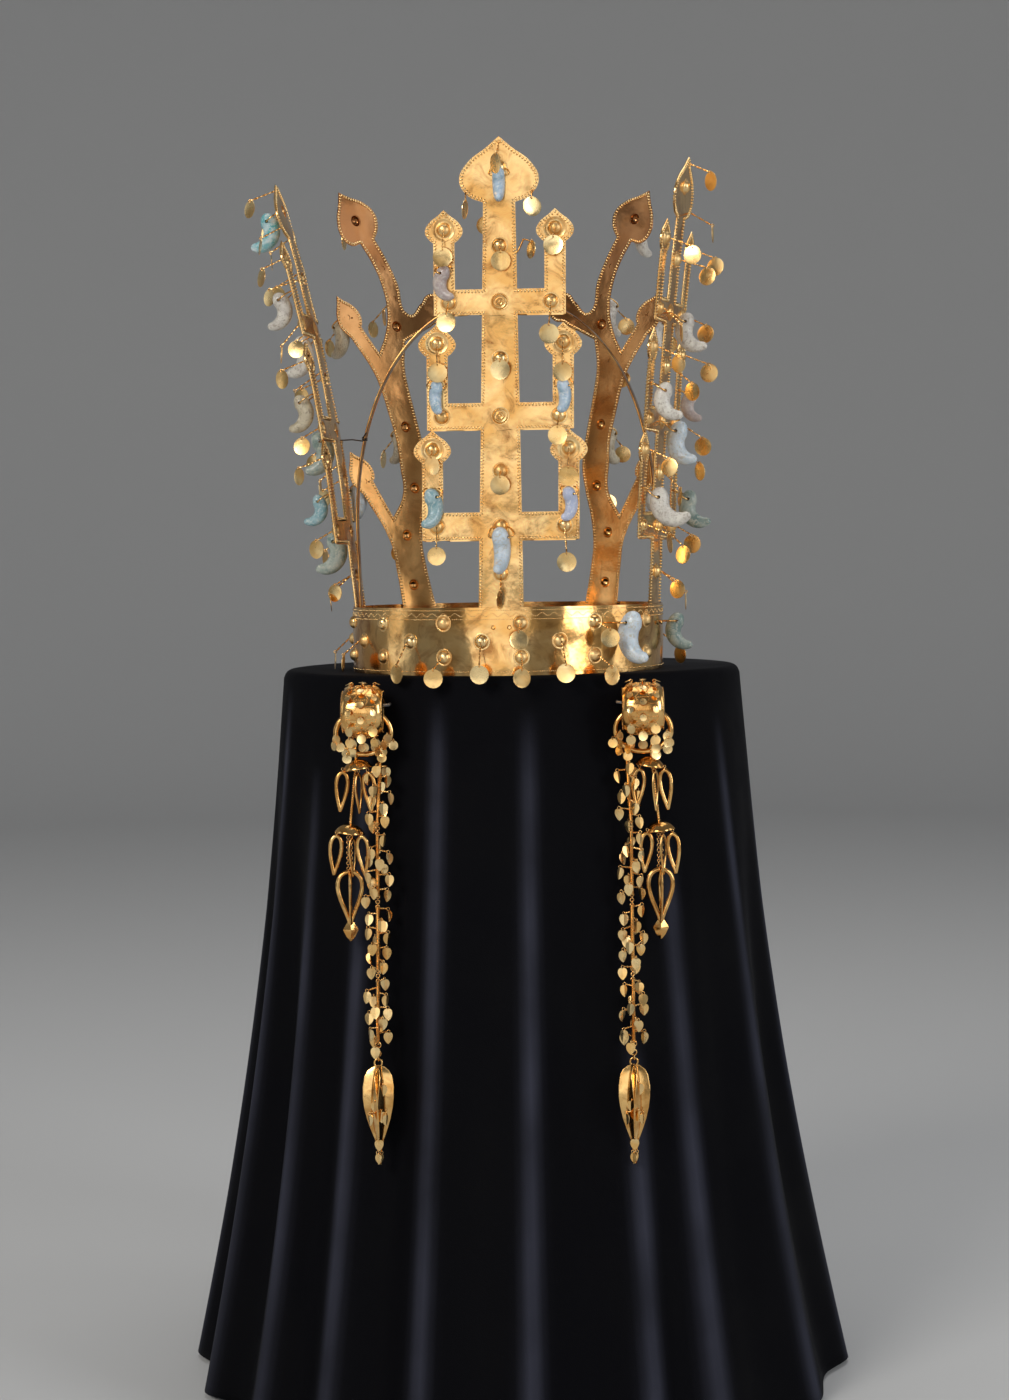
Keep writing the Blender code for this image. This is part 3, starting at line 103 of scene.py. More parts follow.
def shader(tree, kind, sockets=(), **settings):
    """A shader node with its settings. A socket's value may be another node's output."""
    made = tree.nodes.new(kind)
    for name, value in settings.items():
        setattr(made, name, value)
    for name, value in dict(sockets).items():
        if isinstance(value, bpy.types.NodeSocket):
            tree.links.new(value, made.inputs[name])
        else:
            made.inputs[name].default_value = value
    return made


def new_material(name, sockets):
    """A material of one Principled BSDF, and its node tree."""
    made = bpy.data.materials.new(name)
    made.use_nodes = True
    body = made.node_tree.nodes["Principled BSDF"]
    for socket, value in sockets.items():
        body.inputs[socket].default_value = value
    return made, made.node_tree, body


def feed(body, **sources):
    """Links outputs to a shader's sockets, named with _ for a space."""
    for socket, output in sources.items():
        body.id_data.links.new(output, body.inputs[socket.replace("_", " ")])


def object_noise(tree, scale, detail=2.0, **more):
    """The value of a noise that stays with the object's own coordinates."""
    place = shader(tree, "ShaderNodeTexCoord").outputs["Object"]
    sockets = {"Vector": place, "Scale": scale, "Detail": detail, **more}
    return shader(tree, "ShaderNodeTexNoise", sockets).outputs[0]


def mixed(tree, share, first, second):
    """A colour between two, by a share from 0 to 1."""
    return shader(tree, "ShaderNodeMix", {0: share, 6: first, 7: second}, data_type="RGBA").outputs[2]


def ranged(tree, value, low, high, to_low=0.0, to_high=1.0):
    """A value stretched from one range to another."""
    return shader(tree, "ShaderNodeMapRange", {
        "Value": value, "From Min": low, "From Max": high, "To Min": to_low, "To Max": to_high,
    }).outputs[0]


def maths(tree, operation, *values, **settings):
    """The result of one operation on values."""
    return shader(tree, "ShaderNodeMath", dict(enumerate(values)), operation=operation, **settings).outputs[0]


def bump(tree, strength, distance, height):
    """The normal of a surface with shallow relief."""
    values = {"Strength": strength, "Distance": distance, "Height": height}
    return shader(tree, "ShaderNodeBump", values).outputs[0]


def finished(thing, finish):
    """Gives a piece its one material."""
    thing.data.materials.clear()
    thing.data.materials.append(finish)
    return thing


def replace_solid(piece, node):
    """Puts a finished piece on the root body in place of the part's solid, which it hides."""
    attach(piece, "root")
    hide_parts(node)


bpy.ops.mesh.primitive_circle_add(vertices=96, radius=FLOOR_RADIUS, fill_type="NGON")
floor = bpy.context.object
floor.name = "floor"
bpy.ops.object.mode_set(mode="EDIT")
bpy.ops.mesh.select_all(action="SELECT")
for step in range(COVE_STEPS):
    low = math.pi / 2 * step / COVE_STEPS
    high = math.pi / 2 * (step + 1) / COVE_STEPS
    bpy.ops.mesh.select_mode(type="EDGE")
    if step == 0:
        bpy.ops.mesh.region_to_loop()
    bpy.ops.mesh.extrude_edges_move()
    old = FLOOR_RADIUS + COVE_RADIUS * math.sin(low)
    new = FLOOR_RADIUS + COVE_RADIUS * math.sin(high)
    rise = COVE_RADIUS * (math.cos(low) - math.cos(high))
    bpy.ops.transform.resize(value=(new / old, new / old, 1), center_override=(0, 0, 0))
    bpy.ops.transform.translate(value=(0, 0, rise))
bpy.ops.mesh.extrude_edges_move(TRANSFORM_OT_translate={"value": (0, 0, WALL_TOP - COVE_RADIUS)})
bpy.ops.object.mode_set(mode="OBJECT")
bpy.ops.object.shade_smooth()
paper, paper_tree, paper_body = new_material("pale_paper", {"Roughness": 0.9})
grain = shader(paper_tree, "ShaderNodeTexNoise", {"Scale": 3.0, "Detail": 2.0})
feed(paper_body, Base_Color=mixed(paper_tree, grain.outputs[0], (0.60, 0.60, 0.60, 1), (0.64, 0.64, 0.63, 1)))
floor.data.materials.append(paper)
floor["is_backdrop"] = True


def softbox(name, place, target, width, height, power, colour=(1, 1, 1)):
    """A rectangular light that faces a point."""
    bpy.ops.object.light_add(type="AREA", location=place)
    made = bpy.context.object
    made.name = name
    made.data.shape = "RECTANGLE"
    made.data.size = width
    made.data.size_y = height
    made.data.energy = power
    made.data.color = colour
    made.rotation_euler = (Vector(target) - Vector(place)).to_track_quat("-Z", "Y").to_euler()
    return made


crown_middle = (0, -0.05, 0.60)
softbox("key_light", (-1.5, -2.3, 1.9), crown_middle, 1.2, 1.2, 40, (1.0, 0.97, 0.92))
softbox("fill_light", (2.3, -1.7, 1.1), crown_middle, 0.8, 1.6, 22, (0.95, 0.97, 1.0))
softbox("front_wash", (-0.3, -3.3, 0.85), crown_middle, 2.4, 1.5, 12)
softbox("top_light", (0.2, 0.3, 2.6), crown_middle, 1.6, 1.6, 15)
softbox("left_side_light", (-2.5, -0.3, 1.1), crown_middle, 0.7, 1.6, 2.5)
softbox("right_side_light", (2.4, 0.0, 1.1), crown_middle, 0.7, 1.6, 5)
world = bpy.data.worlds.new("studio")
bpy.context.scene.world = world
world.use_nodes = True
world.node_tree.nodes["Background"].inputs["Color"].default_value = (0.30, 0.31, 0.33, 1)
world.node_tree.nodes["Background"].inputs["Strength"].default_value = 0.5


# Velvet cover: black pile cloth over the round stand, drawn smooth on top and falling in soft folds.
# The folds start a little below the rounded edge and deepen towards the hem, and their crests carry a painted
# highlight.

STAND_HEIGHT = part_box("velvet_cloth")[1].z
STAND_RADIUS = 0.142
CLOTH_WALL = 0.0018
CLOTH_CORNER = 0.005
CLOTH_FLARE = 0.150
HEM_CLEARANCE = 0.003
FOLD_DEPTH = 0.015
FOLD_GROWTH = 0.62
CREST_GROWTH = 0.10
CREST_WIDTH = 1.7
CLOTH_COLUMNS = 300
CLOTH_LEVELS = 72
TOP_RINGS = 9
CORNER_STEPS = 6
RIPPLE_DEPTH = 0.0035
Fold = namedtuple("Fold", "azimuth depth start")
FOLDS = tuple(
    Fold(*row)
    for row in (
        (-68, 1.00, 0.02), (-50, 0.80, 0.12), (-34, 0.70, 0.03), (-15, 0.60, 0.03), (6, 0.60, 0.04),
        (27, 0.70, 0.45), (38, 0.80, 0.20), (60, 0.90, 0.06), (84, 1.00, 0.10), (108, 1.00, 0.04),
        (132, 0.90, 0.12), (156, 0.90, 0.08), (180, 0.90, 0.05), (204, 0.90, 0.14), (228, 1.00, 0.04),
        (252, 1.00, 0.10), (272, 1.00, 0.05),
    )
)


def outward(azimuth):
    """Level direction away from the crown's middle: 0 degrees at the front, positive to the right."""
    angle = math.radians(azimuth)
    return Vector((math.sin(angle), -math.cos(angle), 0))


def fold_dent(azimuth, share):
    """How deep the cloth lies behind its ridges, from 0 to 1, at an azimuth and a share of the height."""
    for i, fold in enumerate(FOLDS):
        gap = (FOLDS[(i + 1) % len(FOLDS)].azimuth - fold.azimuth) % 360
        along = (azimuth - fold.azimuth) % 360
        if along < gap:
            grown = min(max((share - fold.start) / FOLD_GROWTH, 0), 1)
            grown = grown * grown * (3 - 2 * grown)
            dip = 0.5 - 0.5 * math.cos(2 * math.pi * along / gap)
            return fold.depth * grown * dip ** 0.85
    return 0.0


def fold_crest(azimuth, share):
    """How near a ridge's crest the cloth is, from 0 to 1, once the fold has begun. It masks the painted
    highlight on the ridges.
    """
    best = 0.0
    for fold in FOLDS:
        off = ((azimuth - fold.azimuth + 180) % 360 - 180) / CREST_WIDTH
        grown = min(max((share - fold.start) / CREST_GROWTH, 0), 1)
        best = max(best, grown * math.exp(-off * off))
    return best


def cloth_radius(share):
    return STAND_RADIUS + (CLOTH_FLARE * STAND_HEIGHT * share) * (0.55 + 0.45 * share)


def cloth_drift(azimuth, share):
    """How far a fold wanders from plumb on its way down, in degrees."""
    return 3.0 * share * math.sin(math.radians(3 * azimuth + 40))


def cloth_point(azimuth, drop):
    share = drop / STAND_HEIGHT
    radius = cloth_radius(share) - FOLD_DEPTH * fold_dent(azimuth + cloth_drift(azimuth, share), share)
    level = outward(azimuth)
    ripple = noise.noise(Vector((level.x * 5, level.y * 5, drop * 2.2 + 3)))
    radius += RIPPLE_DEPTH * ripple * min(share * 3, 1)
    return level * radius + UP * (STAND_HEIGHT - drop)


velvet_mesh = bpy.data.meshes.new("velvet")
pile = bmesh.new()
hub = pile.verts.new((0, 0, STAND_HEIGHT))
loops = []
azimuths = [360 * i / CLOTH_COLUMNS for i in range(CLOTH_COLUMNS)]
for step in range(1, TOP_RINGS + 1):
    radius = (STAND_RADIUS - CLOTH_CORNER) * step / TOP_RINGS
    loops.append([pile.verts.new(outward(azimuth) * radius + UP * STAND_HEIGHT) for azimuth in azimuths])
for step in range(1, CORNER_STEPS):
    turn = math.pi / 2 * step / CORNER_STEPS
    radius = STAND_RADIUS - CLOTH_CORNER * (1 - math.sin(turn))
    height = STAND_HEIGHT - CLOTH_CORNER * (1 - math.cos(turn))
    loops.append([pile.verts.new(outward(azimuth) * radius + UP * height) for azimuth in azimuths])
for step in range(CLOTH_LEVELS + 1):
    drop = CLOTH_CORNER + (STAND_HEIGHT - HEM_CLEARANCE - CLOTH_CORNER) * step / CLOTH_LEVELS
    loops.append([pile.verts.new(cloth_point(azimuth, drop)) for azimuth in azimuths])
for i in range(CLOTH_COLUMNS):
    pile.faces.new((hub, loops[0][i], loops[0][(i + 1) % CLOTH_COLUMNS]))
for upper, lower in zip(loops, loops[1:]):
    for i in range(CLOTH_COLUMNS):
        j = (i + 1) % CLOTH_COLUMNS
        pile.faces.new((upper[i], lower[i], lower[j], upper[j]))
bmesh.ops.recalc_face_normals(pile, faces=pile.faces)
pile.to_mesh(velvet_mesh)
pile.free()
# Each point's nearness to a fold crest, stored on the mesh as the mask of the painted highlight.
crest_highlight_mask = velvet_mesh.attributes.new("crest_highlight_mask", "FLOAT", "POINT")
for vertex in velvet_mesh.vertices:
    share = 1 - vertex.co.z / STAND_HEIGHT
    azimuth = math.degrees(math.atan2(vertex.co.x, -vertex.co.y))
    crest_highlight_mask.data[vertex.index].value = fold_crest(azimuth + cloth_drift(azimuth, share), share)
velvet = bpy.data.objects.new("velvet_cover", velvet_mesh)
bpy.context.collection.objects.link(velvet)
bpy.context.view_layer.objects.active = velvet
velvet.select_set(True)
wall = velvet.modifiers.new("wall", "SOLIDIFY")
wall.thickness = CLOTH_WALL
wall.offset = -1
bpy.ops.object.modifier_apply(modifier="wall")
bpy.ops.object.shade_smooth()

velvet_finish, velvet_tree, velvet_body = new_material("black_velvet", {
    "Base Color": (0.006, 0.006, 0.009, 1),
    "Roughness": 0.65,
    "Specular IOR Level": 0.05,
    "Sheen Weight": 0.035,
    "Sheen Roughness": 0.25,
    "Sheen Tint": (0.50, 0.52, 0.62, 1),
})
stroked = object_noise(velvet_tree, 14.0, 4.0)
nap = mixed(velvet_tree, stroked, (0.0012, 0.0012, 0.0018, 1), (0.0035, 0.0035, 0.005, 1))
# Painted highlight: the base colour turns lighter along the fold crests, in patches, for the sheen where
# light catches the ridges.
along_ridge = shader(velvet_tree, "ShaderNodeAttribute", attribute_name="crest_highlight_mask")
patchy = ranged(velvet_tree, stroked, 0.3, 0.7, 0.45, 1.0)
painted_ridge_highlight = maths(velvet_tree, "MULTIPLY", along_ridge.outputs["Fac"], patchy)
feed(
    velvet_body, Base_Color=mixed(velvet_tree, painted_ridge_highlight, nap, (0.040, 0.042, 0.060, 1)),
    Roughness=ranged(velvet_tree, stroked, 0.3, 0.7, 0.55, 0.85),
    Normal=bump(velvet_tree, 0.25, 0.0004, object_noise(velvet_tree, 1600.0)),
)
velvet.data.materials.append(velvet_finish)
replace_solid(velvet, "velvet_cloth")


# Plinth: a plain round block of painted wood, which stays under the cloth.
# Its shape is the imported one.

block_finish, block_tree, block_body = new_material("painted_block", {"Roughness": 0.6})
place = shader(block_tree, "ShaderNodeTexCoord").outputs["Object"]
strokes = shader(block_tree, "ShaderNodeMapping", {"Vector": place, "Scale": (60, 60, 6)}).outputs[0]
brushed = shader(block_tree, "ShaderNodeTexNoise", {
    "Vector": strokes, "Scale": 1.0, "Detail": 5.0,
}).outputs[0]
paint = mixed(block_tree, brushed, (0.10, 0.10, 0.10, 1), (0.17, 0.17, 0.16, 1))
feed(block_body, Base_Color=paint, Normal=bump(block_tree, 0.2, 0.001, brushed))
finished(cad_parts["plinth"], block_finish)


# Headband: one strip of gold sheet closed to a ring, with punched lines of dots and a wave between two.
# The gold effect for all sheets, and the domes, twisted wires and round spangles, are made here first.

BAND_RADIUS = 0.094
BAND_HEIGHT = 0.039
BAND_WALL = 0.0007
GOLD_BRIGHT = (1.00, 0.66, 0.28, 1)
GOLD_DEEP = (0.80, 0.43, 0.13, 1)
GOLD_STAIN = (0.33, 0.13, 0.035, 1)


def effect_group(name, inputs, outputs):
    """A node group's tree and the outputs of its input node, from rows of names, kinds and values."""
    tree = bpy.data.node_groups.new(name, "ShaderNodeTree")
    for socket, kind, value in inputs:
        made = tree.interface.new_socket(socket, in_out="INPUT", socket_type=kind)
        if value is not None:
            made.default_value = value
    for socket, kind in outputs:
        tree.interface.new_socket(socket, in_out="OUTPUT", socket_type=kind)
    return tree, tree.nodes.new("NodeGroupInput").outputs


EFFECT_OUTPUTS = (
    ("Color", "NodeSocketColor"), ("Roughness", "NodeSocketFloat"), ("Normal", "NodeSocketVector"),
)


def use_effect(body, effect, values):
    """Places an effect's group in a material with its own values and feeds the shader from it."""
    group = shader(body.id_data, "ShaderNodeGroup", node_tree=effect)
    for socket, value in values.items():
        group.inputs[socket].default_value = value
    feed(body, Base_Color=group.outputs["Color"], Roughness=group.outputs["Roughness"],
         Normal=group.outputs["Normal"])


def beaten_gold_group():
    """Beaten gold's colour, roughness and normal: bright and deep patches, red-brown stain, shallow dents."""
    tree, given = effect_group("beaten gold", (
        ("Bright", "NodeSocketColor", GOLD_BRIGHT), ("Deep", "NodeSocketColor", GOLD_DEEP),
        ("Stain", "NodeSocketColor", GOLD_STAIN), ("Stain Amount", "NodeSocketFloat", 0.4),
        ("Patch Size", "NodeSocketFloat", 0.03), ("Dent Depth", "NodeSocketFloat", 0.0004),
        ("Smoothness", "NodeSocketFloat", 0.7),
    ), EFFECT_OUTPUTS)

    place = shader(tree, "ShaderNodeTexCoord").outputs["Object"]
    scale = maths(tree, "DIVIDE", 1.0, given["Patch Size"])
    patches = object_noise(tree, scale, 3.0, Distortion=0.6)
    ground = mixed(tree, ranged(tree, patches, 0.38, 0.62), given["Deep"], given["Bright"])
    shifted = shader(tree, "ShaderNodeMapping", {"Vector": place, "Location": (0.37, 0.11, 0.23)})
    stains = shader(tree, "ShaderNodeTexNoise", {
        "Vector": shifted.outputs[0], "Scale": maths(tree, "MULTIPLY", scale, 1.7), "Detail": 7.0,
        "Roughness": 0.62, "Distortion": 1.2,
    })
    film = maths(tree, "MULTIPLY", ranged(tree, stains.outputs[0], 0.48, 0.72), given["Stain Amount"])
    dull = ranged(tree, object_noise(tree, 90.0, 5.0), 0.3, 0.7, 0.9, 0.55)
    softer = maths(tree, "MULTIPLY_ADD", film, 0.30, dull)
    rough = maths(tree, "SUBTRACT", softer, given["Smoothness"], use_clamp=True)
    height = maths(tree, "MULTIPLY_ADD", object_noise(tree, 1400.0), 0.06, object_noise(tree, 130.0))
    shader(tree, "NodeGroupOutput", {
        "Color": mixed(tree, film, ground, given["Stain"]), "Roughness": maths(tree, "MAXIMUM", rough, 0.16),
        "Normal": bump(tree, 0.55, given["Dent Depth"], height),
    })
    return tree


BEATEN_GOLD = beaten_gold_group()


def gold_finish(name, **values):
    """A gold made with the beaten gold effect. Values are its inputs, with _ for a space."""
    made, _, body = new_material(name, {"Metallic": 1.0})
    use_effect(body, BEATEN_GOLD, {key.replace("_", " ").title(): value for key, value in values.items()})
    return made


sheet_gold = gold_finish("sheet_gold", stain_amount=0.85, patch_size=0.024, dent_depth=0.00030)
disc_gold = gold_finish(
    "disc_gold", bright=(1.0, 0.76, 0.38, 1), deep=(0.95, 0.58, 0.20, 1), stain_amount=0.25, patch_size=0.018,
    dent_depth=0.0002, smoothness=0.45,
)
# Painted highlight: the punched dots get a lighter, less stained gold than the sheet, for the light their
# raised tops catch.
dot_highlight_gold = gold_finish(
    "dot_highlight_gold", bright=(1.0, 0.74, 0.38, 1), deep=(0.95, 0.60, 0.24, 1), stain_amount=0.2, patch_size=0.01,
    dent_depth=0.0001,
)
# Painted highlight: the domes get a lighter, less stained gold than the sheet, for the light their raised
# tops catch.
dome_highlight_gold = gold_finish(
    "dome_highlight_gold", bright=(1.0, 0.72, 0.34, 1), deep=(0.88, 0.50, 0.17, 1), stain_amount=0.35, patch_size=0.012,
    smoothness=0.36,
)
wire_gold = gold_finish("wire_gold", stain_amount=0.6, patch_size=0.008, dent_depth=0.0001)


def only(thing):
    """Selects one object and makes it active."""
    bpy.ops.object.select_all(action="DESELECT")
    thing.select_set(True)
    bpy.context.view_layer.objects.active = thing
    return thing


@contextmanager
def editing(thing):
    """Edit mode on one object, with its whole mesh selected."""
    only(thing)
    bpy.ops.object.mode_set(mode="EDIT")
    bpy.ops.mesh.select_all(action="SELECT")
    yield
    bpy.ops.object.mode_set(mode="OBJECT")


def use_modifier(thing, kind, **settings):
    """Adds a modifier with its settings and applies it."""
    only(thing)
    made = thing.modifiers.new("step", kind)
    for name, value in settings.items():
        setattr(made, name, value)
    bpy.ops.object.modifier_apply(modifier=made.name)
    return thing


def joined(things, name):
    """One object of all the things, with its place in its mesh."""
    things = list(things)
    bpy.ops.object.select_all(action="DESELECT")
    for thing in things:
        thing.select_set(True)
    bpy.context.view_layer.objects.active = things[0]
    if len(things) > 1:
        bpy.ops.object.join()
    bpy.ops.object.transform_apply(location=True, rotation=True, scale=True)
    made = bpy.context.object
    made.name = name
    return made


def copy_at(master, place):
    """A copy of a modelled master, with its own mesh, set in its place."""
    made = master.copy()
    made.data = master.data.copy()
    bpy.context.collection.objects.link(made)
    made.matrix_world = place
    made.hide_render = False
    return made


def put_away(master):
    """Takes a master off the table once nothing more is copied from it."""
    bpy.data.objects.remove(master)


def turned(name, profile, steps, finish):
    """A round shape spun about Z from a profile of (radius, height) points."""
    bpy.ops.mesh.primitive_plane_add(size=0.001)
    made = bpy.context.object
    made.name = name
    radius, height = profile[0]
    with editing(made):
        bpy.ops.mesh.select_mode(type="VERT")
        bpy.ops.mesh.select_all(action="SELECT")
        bpy.ops.mesh.merge(type="CENTER")
        bpy.ops.transform.translate(value=(radius, 0, height))
        for (x, z), (next_x, next_z) in zip(profile, profile[1:]):
            move = (next_x - x, 0, next_z - z)
            bpy.ops.mesh.extrude_vertices_move(TRANSFORM_OT_translate={"value": move})
        bpy.ops.mesh.select_all(action="SELECT")
        bpy.ops.mesh.spin(
            steps=steps, angle=2 * math.pi, center=(0, 0, 0), axis=(0, 0, 1), use_auto_merge=False,
        )
        bpy.ops.mesh.select_all(action="SELECT")
        bpy.ops.mesh.remove_doubles(threshold=0.00002)
        bpy.ops.mesh.normals_make_consistent(inside=False)
    bpy.ops.object.shade_smooth_by_angle(angle=math.radians(42))
    made.data.materials.append(finish)
    return made


def drilled(thing, drill):
    """Cuts a drill's shape out of a thing and throws the drill away."""
    use_modifier(thing, "BOOLEAN", operation="DIFFERENCE", object=drill, solver="EXACT")
    bpy.data.objects.remove(drill)
    return only(thing)


def bead_master(name, radius, finish):
    """A small bead of few faces."""
    bpy.ops.mesh.primitive_ico_sphere_add(subdivisions=1, radius=radius)
    made = bpy.context.object
    made.name = name
    bpy.ops.object.shade_smooth()
    made.data.materials.append(finish)
    return made


def wire_ring(name, radius, wire, around, across, finish):
    """A ring of round wire about its own Z axis."""
    bpy.ops.mesh.primitive_torus_add(
        major_segments=around, minor_segments=across, major_radius=radius, minor_radius=wire,
    )
    made = bpy.context.object
    made.name = name
    bpy.ops.object.shade_smooth()
    made.data.materials.append(finish)
    return made


# Domes beaten up from behind, as turned shells: radius, and height over the sheet's face, in millimetres.
PLAIN_DOME = (
    (5.0, -0.1), (4.9, 0.18), (4.5, 0.26), (4.1, 0.14), (3.85, 0.3), (3.6, 1.0), (3.05, 1.85),
    (2.2, 2.55), (1.2, 2.95), (0.0, 3.1), (0.0, 2.7), (1.1, 2.55), (2.0, 2.15), (2.8, 1.45), (3.3, 0.6),
    (3.5, -0.4), (5.0, -0.4), (5.0, -0.1),
)
DISHED_DOME = (
    (6.6, -0.1), (6.5, 0.2), (6.2, 0.28), (5.8, 0.1), (5.1, -0.25), (4.3, -0.3), (3.8, 0.0), (3.5, 0.8),
    (3.0, 1.7), (2.2, 2.4), (1.2, 2.8), (0.0, 2.95), (0.0, 2.55), (1.1, 2.4), (2.0, 2.0), (2.7, 1.3),
    (3.2, 0.3), (3.6, -0.6), (5.1, -0.65), (6.6, -0.5), (6.6, -0.1),
)
RINGED_DOME = (
    (5.2, -0.1), (5.1, 0.25), (4.7, 0.3), (4.4, 0.1), (4.1, 0.6), (3.6, 1.0), (3.1, 0.95), (2.7, 0.6),
    (2.3, 0.65), (2.1, 1.3), (1.6, 1.65), (1.1, 1.5), (0.9, 1.0), (0.5, 1.2), (0.0, 1.3), (0.0, 0.8),
    (2.0, 0.3), (4.0, -0.3), (5.2, -0.4), (5.2, -0.1),
)
SMALL_DOME = (
    (2.3, -0.1), (2.1, 0.2), (1.7, 0.3), (1.4, 0.9), (0.8, 1.2), (0.0, 1.3), (0.0, -0.3), (2.3, -0.3),
    (2.3, -0.1),
)
MM = 0.001
Dome = namedtuple("Dome", "rows steps top hole")
DOMES = {
    "plain": Dome(PLAIN_DOME, 18, 3.0 * MM, 4.0 * MM),
    "dished": Dome(DISHED_DOME, 18, 2.9 * MM, 5.6 * MM),
    "ringed": Dome(RINGED_DOME, 18, 1.3 * MM, 4.4 * MM),
    "small": Dome(SMALL_DOME, 12, 1.2 * MM, 1.6 * MM),
}


def in_millimetres(rows):
    return [(radius * MM, height * MM) for radius, height in rows]


domes = {
    word: turned(f"{word}_dome", in_millimetres(dome.rows), dome.steps, dome_highlight_gold)
    for word, dome in DOMES.items()
}


# A dot of the punched lines: a flattened bead that shows on both faces of the sheet.
DOT_PITCH = 0.00185
dot = bead_master("punched_dot", 0.00060, dot_highlight_gold)
with editing(dot):
    bpy.ops.transform.resize(value=(1.15, 2.2, 2.3), center_override=(0, 0, 0))
fine_dot = bead_master("fine_dot", 0.00040, dot_highlight_gold)


def dotted(points, height, closed=True, pitch=DOT_PITCH, bead=None):
    """Dots along a flat line of points, at a height over the sheet's middle."""
    line = bpy.data.curves.new("dot_line", "CURVE")
    line.dimensions = "3D"
    spline = line.splines.new("POLY")
    spline.points.add(len(points) - 1)
    for point, (x, y) in zip(spline.points, points):
        point.co = (x, y, 0, 1)
    spline.use_cyclic_u = closed
    path = bpy.data.objects.new("dot_line", line)
    bpy.context.collection.objects.link(path)
    made = copy_at(bead or dot, Matrix.Identity(4))
    ends = list(points) + ([points[0]] if closed else [])
    length = sum(math.dist(a, b) for a, b in zip(ends, ends[1:]))
    only(made)
    row = made.modifiers.new("row", "ARRAY")
    row.count = max(int(length / pitch), 1)
    row.use_relative_offset = False
    row.use_constant_offset = True
    row.constant_offset_displace = (length / row.count, 0, 0)
    bend = made.modifiers.new("bend", "CURVE")
    bend.object = path
    bend.deform_axis = "POS_X"
    bpy.ops.object.modifier_apply(modifier="row")
    bpy.ops.object.modifier_apply(modifier="bend")
    bpy.data.objects.remove(path)
    made.location.z = height
    return made


# A spangle: a round leaf with a drilled eye, a loop of wire through it, and a stiff stem of twisted wires.
SPANGLE_RADIUS = 0.0055
SPANGLE_THICKNESS = 0.0003
LOOP_RADIUS = 0.0009
STRAND_RADIUS = 0.00030
LOOP_WIRE = 0.00025
STEM_CUTS = 9
STEM_MADE = 0.010
STEM_TWIST = math.radians(540)
EYE_OUT = 0.0044
EYE_RADIUS = 0.0005
DISC_RIM = 0.0014
DISC_DISH = 0.00022


def disc_master():
    bpy.ops.mesh.primitive_cylinder_add(vertices=16, radius=SPANGLE_RADIUS, depth=SPANGLE_THICKNESS)
    made = bpy.context.object
    made.name = "spangle_disc"
    with editing(made):
        bpy.ops.mesh.select_mode(type="FACE")
        for sign in (1, -1):
            bpy.ops.mesh.select_all(action="DESELECT")
            shape = bmesh.from_edit_mesh(made.data)
            for face in shape.faces:
                face.select_set(face.normal.z * sign > 0.9)
            bmesh.update_edit_mesh(made.data)
            bpy.ops.mesh.inset(thickness=DISC_RIM)
            bpy.ops.transform.translate(value=(0, 0, -DISC_DISH))
    bpy.ops.mesh.primitive_cylinder_add(vertices=6, radius=EYE_RADIUS, depth=0.004, location=(0, EYE_OUT, 0))
    drilled(made, bpy.context.object)
    bpy.ops.object.shade_smooth_by_angle(angle=math.radians(35))
    return finished(made, disc_gold)


def twisted_master():
    """Two wires twisted round each other along X, stretched or shortened for each stem."""
    strands = []
    for side in (-1, 1):
        bpy.ops.mesh.primitive_cylinder_add(
            vertices=4, radius=STRAND_RADIUS, depth=STEM_MADE,
            location=(STEM_MADE / 2, side * STRAND_RADIUS * 0.9, 0), rotation=(0, math.pi / 2, 0),
        )
        strands.append(bpy.context.object)
    made = joined(strands, "twisted_wire")
    with editing(made):
        for cut in range(1, STEM_CUTS):
            bpy.ops.mesh.select_all(action="SELECT")
            bpy.ops.mesh.bisect(plane_co=(STEM_MADE * cut / STEM_CUTS, 0, 0), plane_no=(1, 0, 0))
    for vertex in made.data.vertices:
        turn = vertex.co.x / STEM_MADE * STEM_TWIST
        vertex.co = Matrix.Rotation(turn, 3, "X") @ vertex.co
    bpy.ops.object.shade_smooth_by_angle(angle=math.radians(60))
    made.data.materials.append(wire_gold)
    return made


disc = disc_master()
stem = twisted_master()
wire_loop = wire_ring("wire_loop", LOOP_RADIUS, LOOP_WIRE, 8, 4, wire_gold)


def place_along(start, end, length=None):
    """A place whose X axis runs from start to end, stretched to that length if one is given."""
    along = end - start
    turn = along.to_track_quat("X", "Z").to_matrix().to_4x4()
    stretch = Matrix.Diagonal((along.length / length if length else 1, 1, 1, 1))
    return Matrix.Translation(start) @ turn @ stretch


def hang_spangle(start, eye, swing, tip=0.0, size=1.0, leaf=None):
    """Pieces of one spangle: its stem from start to its eye, the loop, and the turned disc or leaf."""
    along = (eye - start).normalized()
    turn = Matrix.Rotation(math.radians(swing), 4, "Z")
    lean = Matrix.Rotation(math.radians(tip), 4, "X")
    upright = Matrix.Rotation(math.pi / 2, 4, "X")
    centre = eye + along * LOOP_RADIUS
    loop_place = Matrix.Translation(centre) @ along.to_track_quat("X", "Z").to_matrix().to_4x4() @ upright
    drop = Matrix.Translation((0, 0, -EYE_OUT * size))
    disc_place = Matrix.Translation(centre + DOWN * LOOP_RADIUS * 0.7) @ turn @ lean @ drop @ upright
    return [
        copy_at(stem, place_along(start, eye, STEM_MADE)),
        copy_at(wire_loop, loop_place),
        copy_at(leaf or disc, disc_place @ Matrix.Scale(size, 4)),
    ]


def sideways(azimuth):
    """Level direction to the right, seen from outside at an azimuth."""
    angle = math.radians(azimuth)
    return Vector((math.cos(angle), math.sin(angle), 0))


